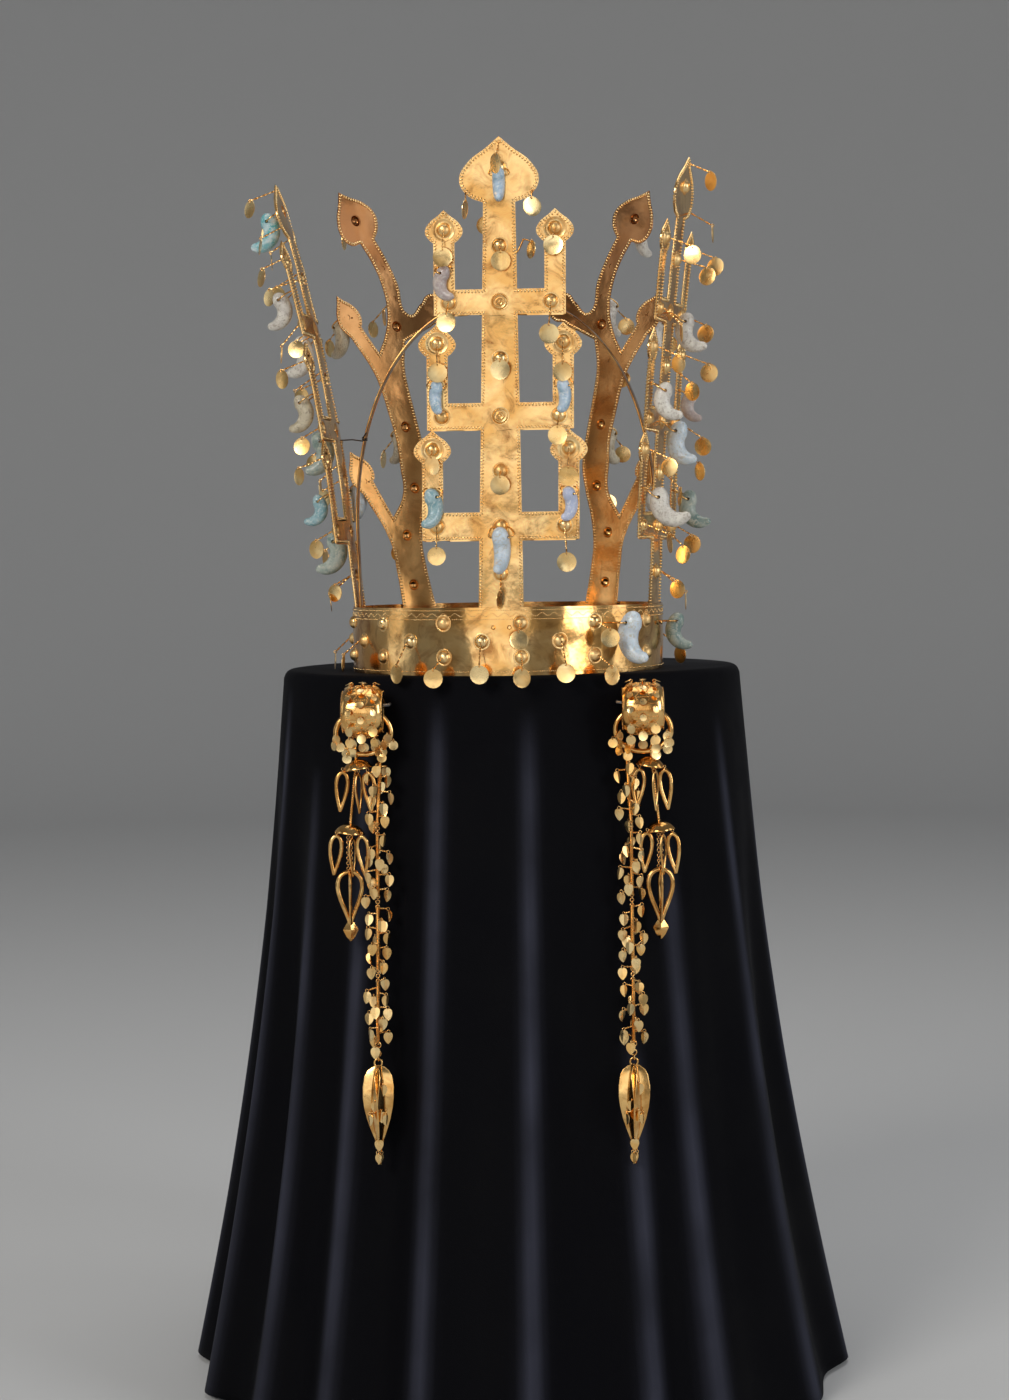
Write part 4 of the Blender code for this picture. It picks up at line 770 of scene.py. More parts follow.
def band_place(azimuth, height, out=0.0):
    return CROWN_FOOT + outward(azimuth) * (BAND_RADIUS + out) + UP * height


def bent(thing, rule):
    """Moves every point of a flat piece to where the rule puts (across, height, out)."""
    for vertex in thing.data.vertices:
        vertex.co = rule(*vertex.co)
    thing.data.update()
    return thing


def gridded(thing, across_step, up_step):
    """Cuts a flat piece into cells, so that it can bend."""
    low = [min(vertex.co[axis] for vertex in thing.data.vertices) for axis in (0, 1)]
    high = [max(vertex.co[axis] for vertex in thing.data.vertices) for axis in (0, 1)]
    with editing(thing):
        for axis, pace in ((0, across_step), (1, up_step)):
            count = int((high[axis] - low[axis]) / pace)
            for cut in range(1, count):
                middle = [0, 0, 0]
                middle[axis] = low[axis] + (high[axis] - low[axis]) * cut / count
                bpy.ops.mesh.select_all(action="SELECT")
                bpy.ops.mesh.bisect(plane_co=middle, plane_no=(1 - axis, axis, 0), threshold=0.00001)
    return thing


BAND_COLUMNS = 13
BAND_PHASE = 6.8
BAND_ROWS = {"high": 0.77, "mid": 0.50, "low": 0.27}
BAND_FREE_ARC = 35
BAND_BARE_ARC = 125
BAND_HIGH_ARC = (-20, 60)
BAND_JADE_SHARE = 0.33
BAND_STAPLE_ARC = 4.8
BAND_REACH = 0.0075
BAND_REACH_SPREAD = 0.002
BAND_SIDE_SPREAD = 0.003
BAND_CELL = (0.0022, 0.0030)
BAND_JADE_AZIMUTHS = (45, 84)
STAPLE_AZIMUTHS = (0, -97, 75, -140, 142, 180)
BAND_HALF_LENGTH = math.pi * BAND_RADIUS
WAVE_LENGTH = 0.0072
WAVE_DEPTH = 0.0010
WAVE_HEIGHT = 0.03475
WAVE_PITCH = 0.0010
WAVE_STEPS = 900
BAND_LINES = (0.0373, 0.0322, 0.0022)
BAND_LINE_PITCH = 0.0013
BAND_LINE_STEPS = 240


def band_bend(along, height, out):
    """Closes the flat strip to a ring, with the slight unevenness of beaten sheet."""
    level = outward(math.degrees(along / BAND_RADIUS))
    uneven = 0.00045 * noise.noise(Vector((level.x * 6, level.y * 6, height * 60)))
    return CROWN_FOOT + level * (BAND_RADIUS + out + uneven) + UP * height


bpy.ops.mesh.primitive_plane_add(size=1)
strip = bpy.context.object
bpy.ops.transform.resize(value=(2 * BAND_HALF_LENGTH, BAND_HEIGHT, 1))
bpy.ops.transform.translate(value=(0, BAND_HEIGHT / 2, 0))
bpy.ops.object.transform_apply(location=True, rotation=True, scale=True)
gridded(strip, *BAND_CELL)
bent(strip, band_bend)
with editing(strip):
    bpy.ops.mesh.remove_doubles(threshold=0.0001)
    bpy.ops.mesh.normals_make_consistent(inside=False)
use_modifier(strip, "SOLIDIFY", thickness=BAND_WALL, offset=-1)
bpy.ops.object.shade_smooth_by_angle(angle=math.radians(40))
strip.data.materials.append(sheet_gold)


def band_dots(line, out, pitch):
    """A line of fine dots, laid out flat and bent to the band."""
    return bent(joined([dotted(line, out, closed=False, pitch=pitch, bead=fine_dot)], "dots"), band_bend)


def along_band(step, steps):
    return -BAND_HALF_LENGTH + 2 * BAND_HALF_LENGTH * step / steps


band_parts = [strip]
for height in BAND_LINES:
    line = [(along_band(i, BAND_LINE_STEPS), height) for i in range(BAND_LINE_STEPS + 1)]
    band_parts.append(band_dots(line, 0.0, BAND_LINE_PITCH))
wave = []
for i in range(WAVE_STEPS + 1):
    along = along_band(i, WAVE_STEPS)
    wave.append((along, WAVE_HEIGHT + WAVE_DEPTH * math.sin(2 * math.pi * along / WAVE_LENGTH)))
band_parts.append(band_dots(wave, -0.0001, WAVE_PITCH))


def dome_place(foot, normal):
    """A dome's place on a surface, with its Z axis along the normal."""
    return Matrix.Translation(foot) @ normal.to_track_quat("Z", "Y").to_matrix().to_4x4()


random.seed(7)
band_pitch = 360 / BAND_COLUMNS
for column in range(BAND_COLUMNS):
    pair = BAND_PHASE + column * band_pitch
    for row, azimuth in (("high", pair), ("low", pair), ("mid", pair + band_pitch / 2)):
        azimuth = (azimuth + 180) % 360 - 180
        if any(abs(azimuth - taken) < BAND_JADE_SHARE * band_pitch for taken in BAND_JADE_AZIMUTHS):
            continue
        if row == "high" and any(abs(azimuth - taken) < BAND_STAPLE_ARC for taken in STAPLE_AZIMUTHS):
            continue
        level = outward(azimuth)
        foot = band_place(azimuth, BAND_ROWS[row] * BAND_HEIGHT)
        band_parts.append(copy_at(domes["plain"], dome_place(foot, level)))
        free = abs(azimuth) < BAND_FREE_ARC
        if row == "high" and not BAND_HIGH_ARC[0] < azimuth < BAND_HIGH_ARC[1]:
            continue
        if (row == "low" and not free) or abs(azimuth) > BAND_BARE_ARC:
            continue
        drop = {"high": 0.004, "mid": 0.0125 if free else 0.0075, "low": 0.0060}[row]
        eye = foot + level * (DOMES["plain"].top + BAND_REACH + BAND_REACH_SPREAD * random.random())
        eye += sideways(azimuth) * random.uniform(-BAND_SIDE_SPREAD, BAND_SIDE_SPREAD) + DOWN * drop
        room = eye.z - 2.2 * SPANGLE_RADIUS - CROWN_FOOT.z
        eye.z -= min(room, 0) if not free else 0
        swing = azimuth + random.uniform(-35, 35)
        start = foot + level * DOMES["plain"].top
        band_parts += hang_spangle(start, eye, swing, random.uniform(-6, 6))
headband = joined(band_parts, "crown_band")
replace_solid(headband, "headband")


# Trees: three uprights cut from gold sheet, each a trunk with three pairs of square arms and many buds.
# A line of dashes is punched along the edge, and every crossing, arm and bud is beaten up to a dome.

SHEET = 0.0008
SHEET_WALL = 0.0006
SHEET_CELL = 0.0034
EDGE_LINE = 0.0012
TRUNK_FOOT_WIDTH = 0.0258
TRUNK_TOP_WIDTH = 0.0180
BUD_NECK_HEIGHT = 0.266
BUD_HEIGHT = 0.036
BUD_WIDTH = 0.0445
RISER_WIDTH = 0.0120
ARM_KNOB_INSET = 0.0024
SIDE_BUD_WIDTH = 0.0212
SIDE_BUD_HEIGHT = 0.0182
ARM_HEIGHT = 0.0158
ARM_REACH = 0.0447
RISER_LENGTH = 0.0285
ANTLER_HEIGHT = 0.301
ANTLER_SPREAD = 0.050
PIECE_GAP = 0.0003
Tier = namedtuple("Tier", "bottom bar reach riser")
TIER_SHARES = ((0.291, 1.00, 1.00, 1.00), (0.526, 0.95, 0.93, 0.92), (0.767, 0.90, 0.83, 0.905))
TIERS = tuple(
    Tier(low * BUD_NECK_HEIGHT, bar * ARM_HEIGHT, reach * ARM_REACH, riser * RISER_LENGTH)
    for low, bar, reach, riser in TIER_SHARES
)
Upright = namedtuple("Upright", "name azimuth lean_foot lean_top sway mirror")
UPRIGHTS = {
    "front": Upright("tree_front", 0, 2, 8, 0.7, 1),
    "left": Upright("tree_left", -97, 4, 17, 0, 1),
    "right": Upright("tree_right", 75, 1, 9, 0, 1),
    "antler_left": Upright("antler_left", -140, 3, 11, 2, 1),
    "antler_right": Upright("antler_right", 142, 3, 11, 2, -1),
}
WRAP_END = 1.6 * BAND_HEIGHT
BACK_ARM_BEND = 0.012
TINE_BEND = 0.004
SHEET_INSIDE = BAND_RADIUS - 0.0008 - 1.7 * PIECE_GAP - SHEET
BEATEN_DEPTH = 0.00035


def sheet_place(upright, across, height, out=0.0):
    """A point of an upright's sheet, which follows the band's curve at its foot and leans out above it."""
    lean = math.radians(upright.lean_foot)
    bend = math.radians(upright.lean_top - upright.lean_foot) / (ANTLER_HEIGHT - BAND_HEIGHT)
    radius, rise, angle = SHEET_INSIDE, height, 0.0
    if height > BAND_HEIGHT:
        angle = lean + bend * (height - BAND_HEIGHT)
        radius += (math.cos(lean) - math.cos(angle)) / bend
        rise = BAND_HEIGHT + (math.sin(angle) - math.sin(lean)) / bend
    free = max(height - BAND_HEIGHT, 0)
    across += math.tan(math.radians(upright.sway)) * free
    share = min(free / BAND_HEIGHT, 1)
    if upright.name == "tree_left" and across < 0:
        out += BACK_ARM_BEND * share * (across / TIERS[0].reach) ** 2
    if upright.name.startswith("antler"):
        out -= TINE_BEND * share * (across / ANTLER_SPREAD) ** 2
    wrap = min(max((WRAP_END - height) / (WRAP_END - BAND_HEIGHT), 0), 1)
    out -= wrap * across * across / (2 * SHEET_INSIDE)
    level = outward(upright.azimuth)
    normal = level * math.cos(angle) - UP * math.sin(angle)
    return CROWN_FOOT + level * radius + UP * rise + sideways(upright.azimuth) * across + normal * out


def sheet_bend(upright):
    """The rule that stands a flat sheet in its place, a little uneven as beaten sheet is."""
    def rule(across, height, out):
        free = min(max(height - BAND_HEIGHT, 0) / BAND_HEIGHT, 1)
        seed = upright.azimuth * 0.37
        uneven = noise.noise(Vector((across * 32 + seed, height * 26, seed)))
        uneven += 0.5 * noise.noise(Vector((across * 75 + seed, height * 75, seed + 5)))
        return sheet_place(upright, across, height, out + BEATEN_DEPTH * free * uneven)
    return rule


# A bud's outline from its neck to its point: share of its height, and share of its half width.
BUD_OUTLINE = ((0.10, 0.78), (0.34, 1.00), (0.60, 0.80), (0.84, 0.30))


def bud(near_neck, far_neck, tip, half_width):
    """Points of a pointed bud round its tip. A corner is marked True."""
    near_neck, far_neck, tip = Vector(near_neck), Vector(far_neck), Vector(tip)
    middle = (near_neck + far_neck) / 2
    axis = tip - middle
    side = Vector((axis.y, -axis.x)).normalized() * half_width
    if side.dot(near_neck - middle) < 0:
        side = -side
    rising = [(middle + axis * up + side * out, False) for up, out in BUD_OUTLINE]
    falling = [(middle + axis * up - side * out, False) for up, out in reversed(BUD_OUTLINE)]
    return [(near_neck, True), *rising, (tip, True), *falling, (far_neck, True)]


def trunk_half(height):
    share = min(max((height - BAND_HEIGHT) / (BUD_NECK_HEIGHT - BAND_HEIGHT), 0), 1)
    return (TRUNK_FOOT_WIDTH + (TRUNK_TOP_WIDTH - TRUNK_FOOT_WIDTH) * share) / 2


def corner(x, y):
    return Vector((x, y)), True


def tree_outline():
    right = [corner(trunk_half(0), 0), corner(trunk_half(0), BAND_HEIGHT)]
    for tier in TIERS:
        top = tier.bottom + tier.bar
        neck = top + tier.riser
        inner = tier.reach - RISER_WIDTH
        tip = ((tier.reach + inner) / 2, neck + SIDE_BUD_HEIGHT)
        right += [corner(trunk_half(tier.bottom), tier.bottom), corner(tier.reach, tier.bottom)]
        right += bud((tier.reach, neck), (inner, neck), tip, SIDE_BUD_WIDTH / 2)
        right += [corner(inner, top), corner(trunk_half(top), top)]
    half = trunk_half(BUD_NECK_HEIGHT)
    tip = (0, BUD_NECK_HEIGHT + BUD_HEIGHT)
    top_bud = bud((half, BUD_NECK_HEIGHT), (-half, BUD_NECK_HEIGHT), tip, BUD_WIDTH / 2)
    left = [(Vector((-point.x, point.y)), sharp) for point, sharp in reversed(right)]
    return right + top_bud + left


def drawn_outline(name, rows, holes, mirror, filled):
    """A mesh of the outline, smooth between its corners: filled and pierced, or its edge alone."""
    line = bpy.data.curves.new(name, "CURVE")
    line.dimensions = "2D" if filled else "3D"
    line.fill_mode = "BOTH" if filled else "FULL"
    line.resolution_u = 5
    spline = line.splines.new("BEZIER")
    spline.use_cyclic_u = True
    spline.bezier_points.add(len(rows) - 1)
    for point, (place, sharp) in zip(spline.bezier_points, rows):
        point.co = (place.x * mirror, place.y, 0)
        kind = "VECTOR" if sharp else "AUTO"
        point.handle_left_type = kind
        point.handle_right_type = kind
    for (x, y), radius in holes:
        ring = line.splines.new("BEZIER")
        ring.use_cyclic_u = True
        ring.bezier_points.add(3)
        for i, point in enumerate(ring.bezier_points):
            angle = math.pi / 2 * i
            point.co = (x * mirror + radius * math.cos(angle), y + radius * math.sin(angle), 0)
            point.handle_left_type = "AUTO"
            point.handle_right_type = "AUTO"
    made = bpy.data.objects.new(name, line)
    bpy.context.collection.objects.link(made)
    only(made)
    bpy.ops.object.convert(target="MESH")
    return bpy.context.object


def inset_loop(points, inset):
    """The closed line that runs inside an outline at an even distance."""
    area = sum(a[0] * b[1] - b[0] * a[1] for a, b in zip(points, points[1:] + points[:1]))
    hand = 1 if area > 0 else -1
    made = []
    for before, here, after in zip([points[-1]] + points[:-1], points, points[1:] + [points[0]]):
        first = (Vector(here) - Vector(before)).normalized()
        second = (Vector(after) - Vector(here)).normalized()
        inner = Vector((-(first + second).y, (first + second).x)).normalized() * hand
        spread = max(inner.dot(Vector((-first.y, first.x)) * hand), 0.45)
        made.append(tuple(Vector(here) + inner * (inset / spread)))
    return made


def edge_line(outline_mesh):
    """Points of an outline's mesh in order, without those that repeat."""
    points = [(vertex.co.x, vertex.co.y) for vertex in outline_mesh.data.vertices]
    return [a for a, b in zip(points, points[1:] + points[:1]) if math.dist(a, b) > 0.0001]


# Where each dome sits on a tree, with its kind. n is the arm at -X of the flat sheet, f the other.
TREE_DOMES = {
    "bud": "plain", "trunk_top": "plain", "cross_3": "ringed", "trunk_32": "plain", "cross_2": "ringed",
    "trunk_21": "plain", "cross_1": "plain", "trunk_foot": "plain",
}
for place, word in (("arm", "plain"), ("bud", "dished")):
    for side in ("3n", "3f", "2n", "2f", "1n", "1f"):
        TREE_DOMES[f"{place}_{side}"] = word


def tree_stations():
    first, second, third = TIERS
    tops = [tier.bottom + tier.bar for tier in TIERS]
    middle = [tier.bottom + tier.bar / 2 for tier in TIERS]
    stations = {
        "bud": (0, BUD_NECK_HEIGHT + 0.52 * BUD_HEIGHT),
        "trunk_top": (0, (tops[2] + BUD_NECK_HEIGHT) / 2),
        "trunk_32": (0, (tops[1] + third.bottom) / 2),
        "trunk_21": (0, (tops[0] + second.bottom) / 2),
        "trunk_foot": (0, (BAND_HEIGHT + first.bottom) / 2),
        "rim_n": (-0.84 * BUD_WIDTH / 2, BUD_NECK_HEIGHT + 0.17 * BUD_HEIGHT),
        "rim_f": (0.84 * BUD_WIDTH / 2, BUD_NECK_HEIGHT + 0.17 * BUD_HEIGHT),
        "rim_top": (0, BUD_NECK_HEIGHT + 0.90 * BUD_HEIGHT),
    }
    for i, tier in enumerate(TIERS):
        column = tier.reach - RISER_WIDTH / 2
        neck = tops[i] + tier.riser
        stations[f"cross_{i + 1}"] = (0, middle[i])
        for side, sign in (("n", -1), ("f", 1)):
            stations[f"arm_{i + 1}{side}"] = (sign * (column - ARM_KNOB_INSET), middle[i])
            stations[f"bud_{i + 1}{side}"] = (sign * column, neck + 0.40 * SIDE_BUD_HEIGHT)
            stations[f"riser_{i + 1}{side}"] = (sign * column, tops[i] + tier.riser / 2)
    return stations


def press_sheet(upright, rows, stations, dome_words, finish):
    """One upright's sheet with its domes and punched line, standing in its place."""
    mirror = upright.mirror
    holes = [(stations[name], DOMES[word].hole) for name, word in dome_words.items()]
    sheet = finished(drawn_outline("sheet", rows, holes, mirror, True), finish)
    with editing(sheet):
        bpy.ops.mesh.normals_make_consistent(inside=False)
        bpy.ops.mesh.dissolve_limited(angle_limit=0.01)
    gridded(sheet, SHEET_CELL, SHEET_CELL)
    if sheet.data.polygons[0].normal.z < 0:
        with editing(sheet):
            bpy.ops.mesh.flip_normals()
    for vertex in sheet.data.vertices:
        vertex.co.z = SHEET
    bent(sheet, sheet_bend(upright))
    use_modifier(sheet, "SOLIDIFY", thickness=SHEET_WALL, offset=-1)
    bpy.ops.object.shade_smooth_by_angle(angle=math.radians(40))
    border = drawn_outline("border", rows, (), mirror, False)
    line = inset_loop(edge_line(border), EDGE_LINE)
    bpy.data.objects.remove(border)
    trim = [dotted(line, SHEET - SHEET_WALL / 2)]
    for name, word in dome_words.items():
        across, height = stations[name]
        trim.append(copy_at(domes[word], Matrix.Translation((across * mirror, height, SHEET))))
        if finish is not sheet_gold:
            finished(trim[-1], finish)
    trim = joined(trim, "trim")
    bent(trim, sheet_bend(upright))
    return [sheet, trim]


# What hangs on the uprights' stations, in the order it is hung. A jade has its stone, its length as a share
# of the usual one and its tilt in degrees. A spangle has its reach as a share of the usual one, its turn in
# degrees, and how far its eye lies below the station in millimetres.
HungJade = namedtuple("HungJade", "station stone size tilt")
HungSpangle = namedtuple("HungSpangle", "station reach turn drop", defaults=(5.5,))
JADE_LENGTH = 0.026
SPANGLE_REACH = 0.010
HUNG_JADES = {
    "front": (
        ("bud", "sky", 0.73, 0), ("riser_3n", "rose", 0.73, 0), ("riser_2n", "sky", 0.73, 0),
        ("riser_2f", "sky", 0.73, 0), ("riser_1n", "teal", 0.85, 0), ("riser_1f", "lilac", 0.73, 0),
        ("cross_1", "pale", 1.00, 0),
    ),
    "left": (
        ("bud", "turquoise", 0.92, 10), ("riser_3f", "white", 0.85, 0), ("arm_3n", "white", 1.00, 8),
        ("riser_2f", "cream", 0.85, 0), ("cross_2", "moss", 1.00, 0), ("riser_1f", "teal", 0.73, 12),
        ("cross_1", "moss", 1.00, 10),
    ),
    "right": (
        ("cross_3", "white", 0.92, 14), ("riser_2n", "white", 0.85, 10), ("riser_2f", "rose", 0.73, 0),
        ("cross_2", "pale", 1.00, 8), ("riser_1n", "white", 1.00, 34), ("riser_1f", "moss", 0.92, 18),
    ),
    "antler_left": (
        ("upper_bud", "cream", 0.92, 0), ("waist_top", "cream", 0.85, 0), ("lower_bud", "pale", 0.92, 0),
    ),
    "antler_right": (
        ("bud", "white", 0.85, 0), ("neck", "white", 0.92, 0), ("upper_bud", "white", 0.85, 0),
        ("waist_top", "cream", 0.92, 0), ("lower_bud", "white", 0.85, 0),
    ),
}
HUNG_SPANGLES = {
    "front": (
        ("rim_n", 1.00, 80, 6), ("rim_f", 1.00, 20, 5), ("rim_top", 1.30, 60, 8),
        ("trunk_top", 0.90, 10, 4), ("trunk_32", 0.90, -10, 1.5), ("trunk_21", 0.90, 5, 3),
        ("trunk_foot", 1.40, 60, 9), ("bud_3n", 0.90, 0, 10.5), ("bud_3f", 0.90, 0, 5),
        ("arm_3n", 0.90, -10, 6), ("arm_3f", 0.90, 10, 13), ("bud_2n", 1.10, 0, 11.5),
        ("bud_2f", 1.10, 0, 12), ("arm_2f", 0.80, 0, 6), ("bud_1n", 1.10, 50, 4), ("bud_1f", 1.10, 0, 10.5),
        ("arm_1n", 0.90, 0, 11), ("arm_1f", 0.90, 0, 15),
    ),
    "left": (
        ("rim_top", 1.60, 50), ("trunk_top", 2.00, 60), ("rim_f", 1.20, 30), ("bud_3f", 1.40, 40),
        ("trunk_32", 1.40, 70), ("bud_2f", 1.60, 60), ("arm_2f", 1.20, 80), ("trunk_21", 1.20, 60),
        ("bud_1f", 1.60, 40), ("arm_1f", 1.20, 70), ("trunk_foot", 1.20, 60), ("bud", 0.80, 85, 7),
        ("rim_n", 1.40, 20, 9), ("bud_3n", 1.50, 70, 8), ("cross_3", 1.10, 85, 7), ("arm_3f", 1.30, 15, 12),
        ("bud_2n", 1.80, 20, 11), ("arm_2n", 1.50, 65, 12), ("bud_1n", 1.30, 10, 9),
        ("arm_1n", 1.60, 35, 10), ("trunk_foot", 1.60, 10, 11),
    ),
    "right": (
        ("rim_top", 1.20, 50), ("trunk_top", 1.80, 70), ("bud_3n", 1.50, 80), ("bud_3f", 1.50, 80),
        ("arm_3f", 1.40, 70), ("bud_2n", 1.40, 60), ("bud_2f", 1.60, 80), ("bud_1n", 1.40, 70),
        ("bud_1f", 1.40, 50), ("arm_1n", 1.50, 30), ("arm_1f", 1.20, 80), ("trunk_foot", 1.20, 60),
        ("rim_f", 1.30, 15, 8), ("trunk_32", 1.50, 60, 10), ("arm_3n", 1.20, 20, 9),
        ("arm_2f", 1.60, 75, 9), ("trunk_21", 1.20, 30, 9), ("cross_1", 1.50, 60, 12),
        ("trunk_foot", 1.70, 15, 12),
    ),
    "antler_left": (
        ("bud", 1.20, 40), ("neck", 1.00, 60), ("mid", 1.00, 30), ("knee", 1.00, 0),
        ("upper_bud", 2.20, 20, 12), ("neck", 2.40, 15, 12), ("waist_top", 2.20, 30, 14),
    ),
    "antler_right": (
        ("mid", 1.00, 30), ("waist_low", 1.00, 60), ("inner_bud", 1.00, 20), ("neck", 2.40, 40, 12),
        ("upper_bud", 2.00, 15, 12), ("waist_top", 2.20, 20, 13),
    ),
}


def hung_spangles(key, stations, dome_words):
    """The spangles of one upright, which stand out level from their domes and hang plumb."""
    upright = UPRIGHTS[key]
    level = outward(upright.azimuth)
    made = []
    for row in HUNG_SPANGLES[key]:
        row = HungSpangle(*row)
        across, height = stations[row.station]
        across *= upright.mirror
        rise = DOMES[dome_words[row.station]].top if row.station in dome_words else 0.0
        start = sheet_place(upright, across, height, SHEET + rise * 0.95)
        eye = sheet_place(upright, across, height, SHEET) + level * (row.reach * SPANGLE_REACH)
        eye += DOWN * (row.drop * MM) + sideways(upright.azimuth) * random.uniform(-0.0012, 0.0012)
        turn = upright.azimuth + row.turn + random.uniform(-8, 8)
        made += hang_spangle(start, eye, turn, random.uniform(-7, 7), random.uniform(0.96, 1.04))
    return made


# Every jade's wire comes out of the sheet, runs through the drilled head and goes back into the sheet.
JADE_BACK = 0.345
JADE_BACK_CLEARANCE = 0.0012
JADE_DROP = 0.25
THREAD_RADIUS = 0.00045


def wire_along(name, points, radius, finish, closed=False, smooth=True, sides=2, steps=4):
    """A round wire through points, as a mesh."""
    line = bpy.data.curves.new(name, "CURVE")
    line.dimensions = "3D"
    line.resolution_u = steps
    line.bevel_depth = radius
    line.bevel_resolution = sides
    line.use_fill_caps = True
    spline = line.splines.new("BEZIER" if smooth else "POLY")
    if smooth:
        spline.bezier_points.add(len(points) - 1)
        for point, place in zip(spline.bezier_points, points):
            point.co = place
            point.handle_left_type = "AUTO"
            point.handle_right_type = "AUTO"
    else:
        spline.points.add(len(points) - 1)
        for point, place in zip(spline.points, points):
            point.co = (*place, 1)
    spline.use_cyclic_u = closed
    made = bpy.data.objects.new(name, line)
    bpy.context.collection.objects.link(made)
    only(made)
    bpy.ops.object.convert(target="MESH")
    bpy.ops.object.shade_smooth()
    return finished(bpy.context.object, finish)


JadeSeat = namedtuple("JadeSeat", "foot level length tilt drop swing")
# How far a jade has swung round on its wire, in degrees, by its upright and its count from the top.
JADE_SWINGS = {
    ("front", 2): 60, ("front", 3): 20, ("front", 4): -22, ("front", 5): -42, ("front", 6): -35,
    ("front", 7): -14, ("left", 3): -20, ("left", 5): 18, ("right", 2): 15, ("right", 4): -16,
}


def jade_seats(key, stations):
    """Where the jades of an upright hang, each with the word of its stone."""
    upright = UPRIGHTS[key]
    seats = []
    for count, row in enumerate(HUNG_JADES[key], 1):
        row = HungJade(*row)
        across, height = stations[row.station]
        foot = sheet_place(upright, across * upright.mirror, height, SHEET)
        length = row.size * JADE_LENGTH
        swing = JADE_SWINGS.get((key, count), 0)
        seat = JadeSeat(foot, outward(upright.azimuth), length, row.tilt, JADE_DROP * length, swing)
        seats.append((seat, row.stone))
    return seats


def jade_head(seat):
    """The middle of a jade's drilled hole."""
    return seat.foot + seat.level * (JADE_BACK * seat.length + JADE_BACK_CLEARANCE) + DOWN * seat.drop


def jade_thread(seat):
    side = seat.level.cross(UP)
    half = 0.20 * seat.length + 0.0008
    through = Matrix.Rotation(math.radians(seat.swing), 3, "Z") @ side
    head = jade_head(seat)
    points = [
        seat.foot + side * half * 0.5 - seat.level * SHEET,
        seat.foot + side * half + seat.level * 0.0030 + DOWN * seat.drop * 0.3,
        head + through * half * 1.05 - seat.level * 0.0006,
        head + through * half * 0.55,
        head - through * half * 0.55,
        head - through * half * 1.05 - seat.level * 0.0006,
        seat.foot - side * half + seat.level * 0.0030 + DOWN * seat.drop * 0.3,
        seat.foot - side * half * 0.5 - seat.level * SHEET,
    ]
    return wire_along("jade_thread", points, THREAD_RADIUS, wire_gold)


all_seats = {}


def build_upright(key, rows, stations, dome_words, finish):
    """One upright as one piece: its sheet, domes, spangles and the wires of its jades."""
    parts = press_sheet(UPRIGHTS[key], rows, stations, dome_words, finish)
    parts += hung_spangles(key, stations, dome_words)
    all_seats[key] = jade_seats(key, stations)
    parts += [jade_thread(seat) for seat, _ in all_seats[key]]
    replace_solid(joined(parts, f"upright_{key}"), UPRIGHTS[key].name)


trees = tree_stations()
for key in ("front", "left", "right"):
    build_upright(key, tree_outline(), trees, TREE_DOMES, sheet_gold)


# Antlers: two uprights at the back, cut like antlers with tines that end in buds, and seen here from inside.
# Their sheet carries small domes, and its gold is painted darker and redder than the trees' as shade, the
# more so towards the top.

ANTLER_FOOT_WIDTH = 0.0260
ANTLER_BUD_WIDTH = 0.0350
TINE_BUD_WIDTH = 0.0200
# The antler's edges: share of its height, and share of its spread, outwards positive.
ANTLER_OUTER_FOOT = ((0.209, 0.31),)
LOWER_TINE = ((0.262, 0.37), (0.359, 0.74), (0.389, 0.57), (0.312, 0.29), (0.447, 0.90))
ANTLER_OUTER_WAIST = ((0.362, 0.10), (0.419, 0.10), (0.475, 0.12), (0.532, 0.20), (0.585, 0.28))
UPPER_TINE = ((0.618, 0.36), (0.688, 0.66), (0.714, 0.48), (0.660, 0.24), (0.774, 0.82))
ANTLER_OUTER_NECK = ((0.701, 0.10), (0.751, 0.02), (0.807, 0.05), (0.857, 0.16))
ANTLER_TOP_BUD = ((0.894, 0.30), (0.907, 0.06), (1.000, 0.54))
ANTLER_INNER_NECK = ((0.864, -0.08), (0.814, -0.20))
INNER_TINE = ((0.748, -0.31), (0.773, -0.52), (0.722, -0.62), (0.688, -0.20), (0.790, -1.00))
ANTLER_INNER_WAIST = (
    (0.631, -0.14), (0.591, -0.16), (0.532, -0.22), (0.475, -0.28), (0.419, -0.32),
    (0.362, -0.26), (0.306, -0.17), (0.256, -0.13), (0.209, -0.16),
)
ANTLER_KNOBS = {
    "neck_top": (0.845, "small"), "neck": (0.780, "small"), "fork": (0.720, "plain"), "mid": (0.640, "small"),
    "waist_top": (0.505, "plain"), "waist": (0.450, "small"), "waist_low": (0.375, "plain"),
    "knee": (0.275, "plain"), "foot": (0.170, "plain"),
}
BUD_KNOBS = {
    "lower_bud": (LOWER_TINE, 0.18, "small"), "upper_bud": (UPPER_TINE, 0.42, "small"),
    "inner_bud": (INNER_TINE, 0.42, "small"),
}
# Heights over which the painted shade on the antlers deepens.
PAINTED_SHADE_START = 0.53
PAINTED_SHADE_END = 0.70


def antler_point(row):
    height, across = row
    return Vector((across * ANTLER_SPREAD, height * ANTLER_HEIGHT))


def tine(rows):
    root, neck, far_neck, far_root, tip = [antler_point(row) for row in rows]
    return [(root, False), *bud(neck, far_neck, tip, TINE_BUD_WIDTH / 2), (far_root, True)]


def soft_run(rows):
    return [(antler_point(row), False) for row in rows]


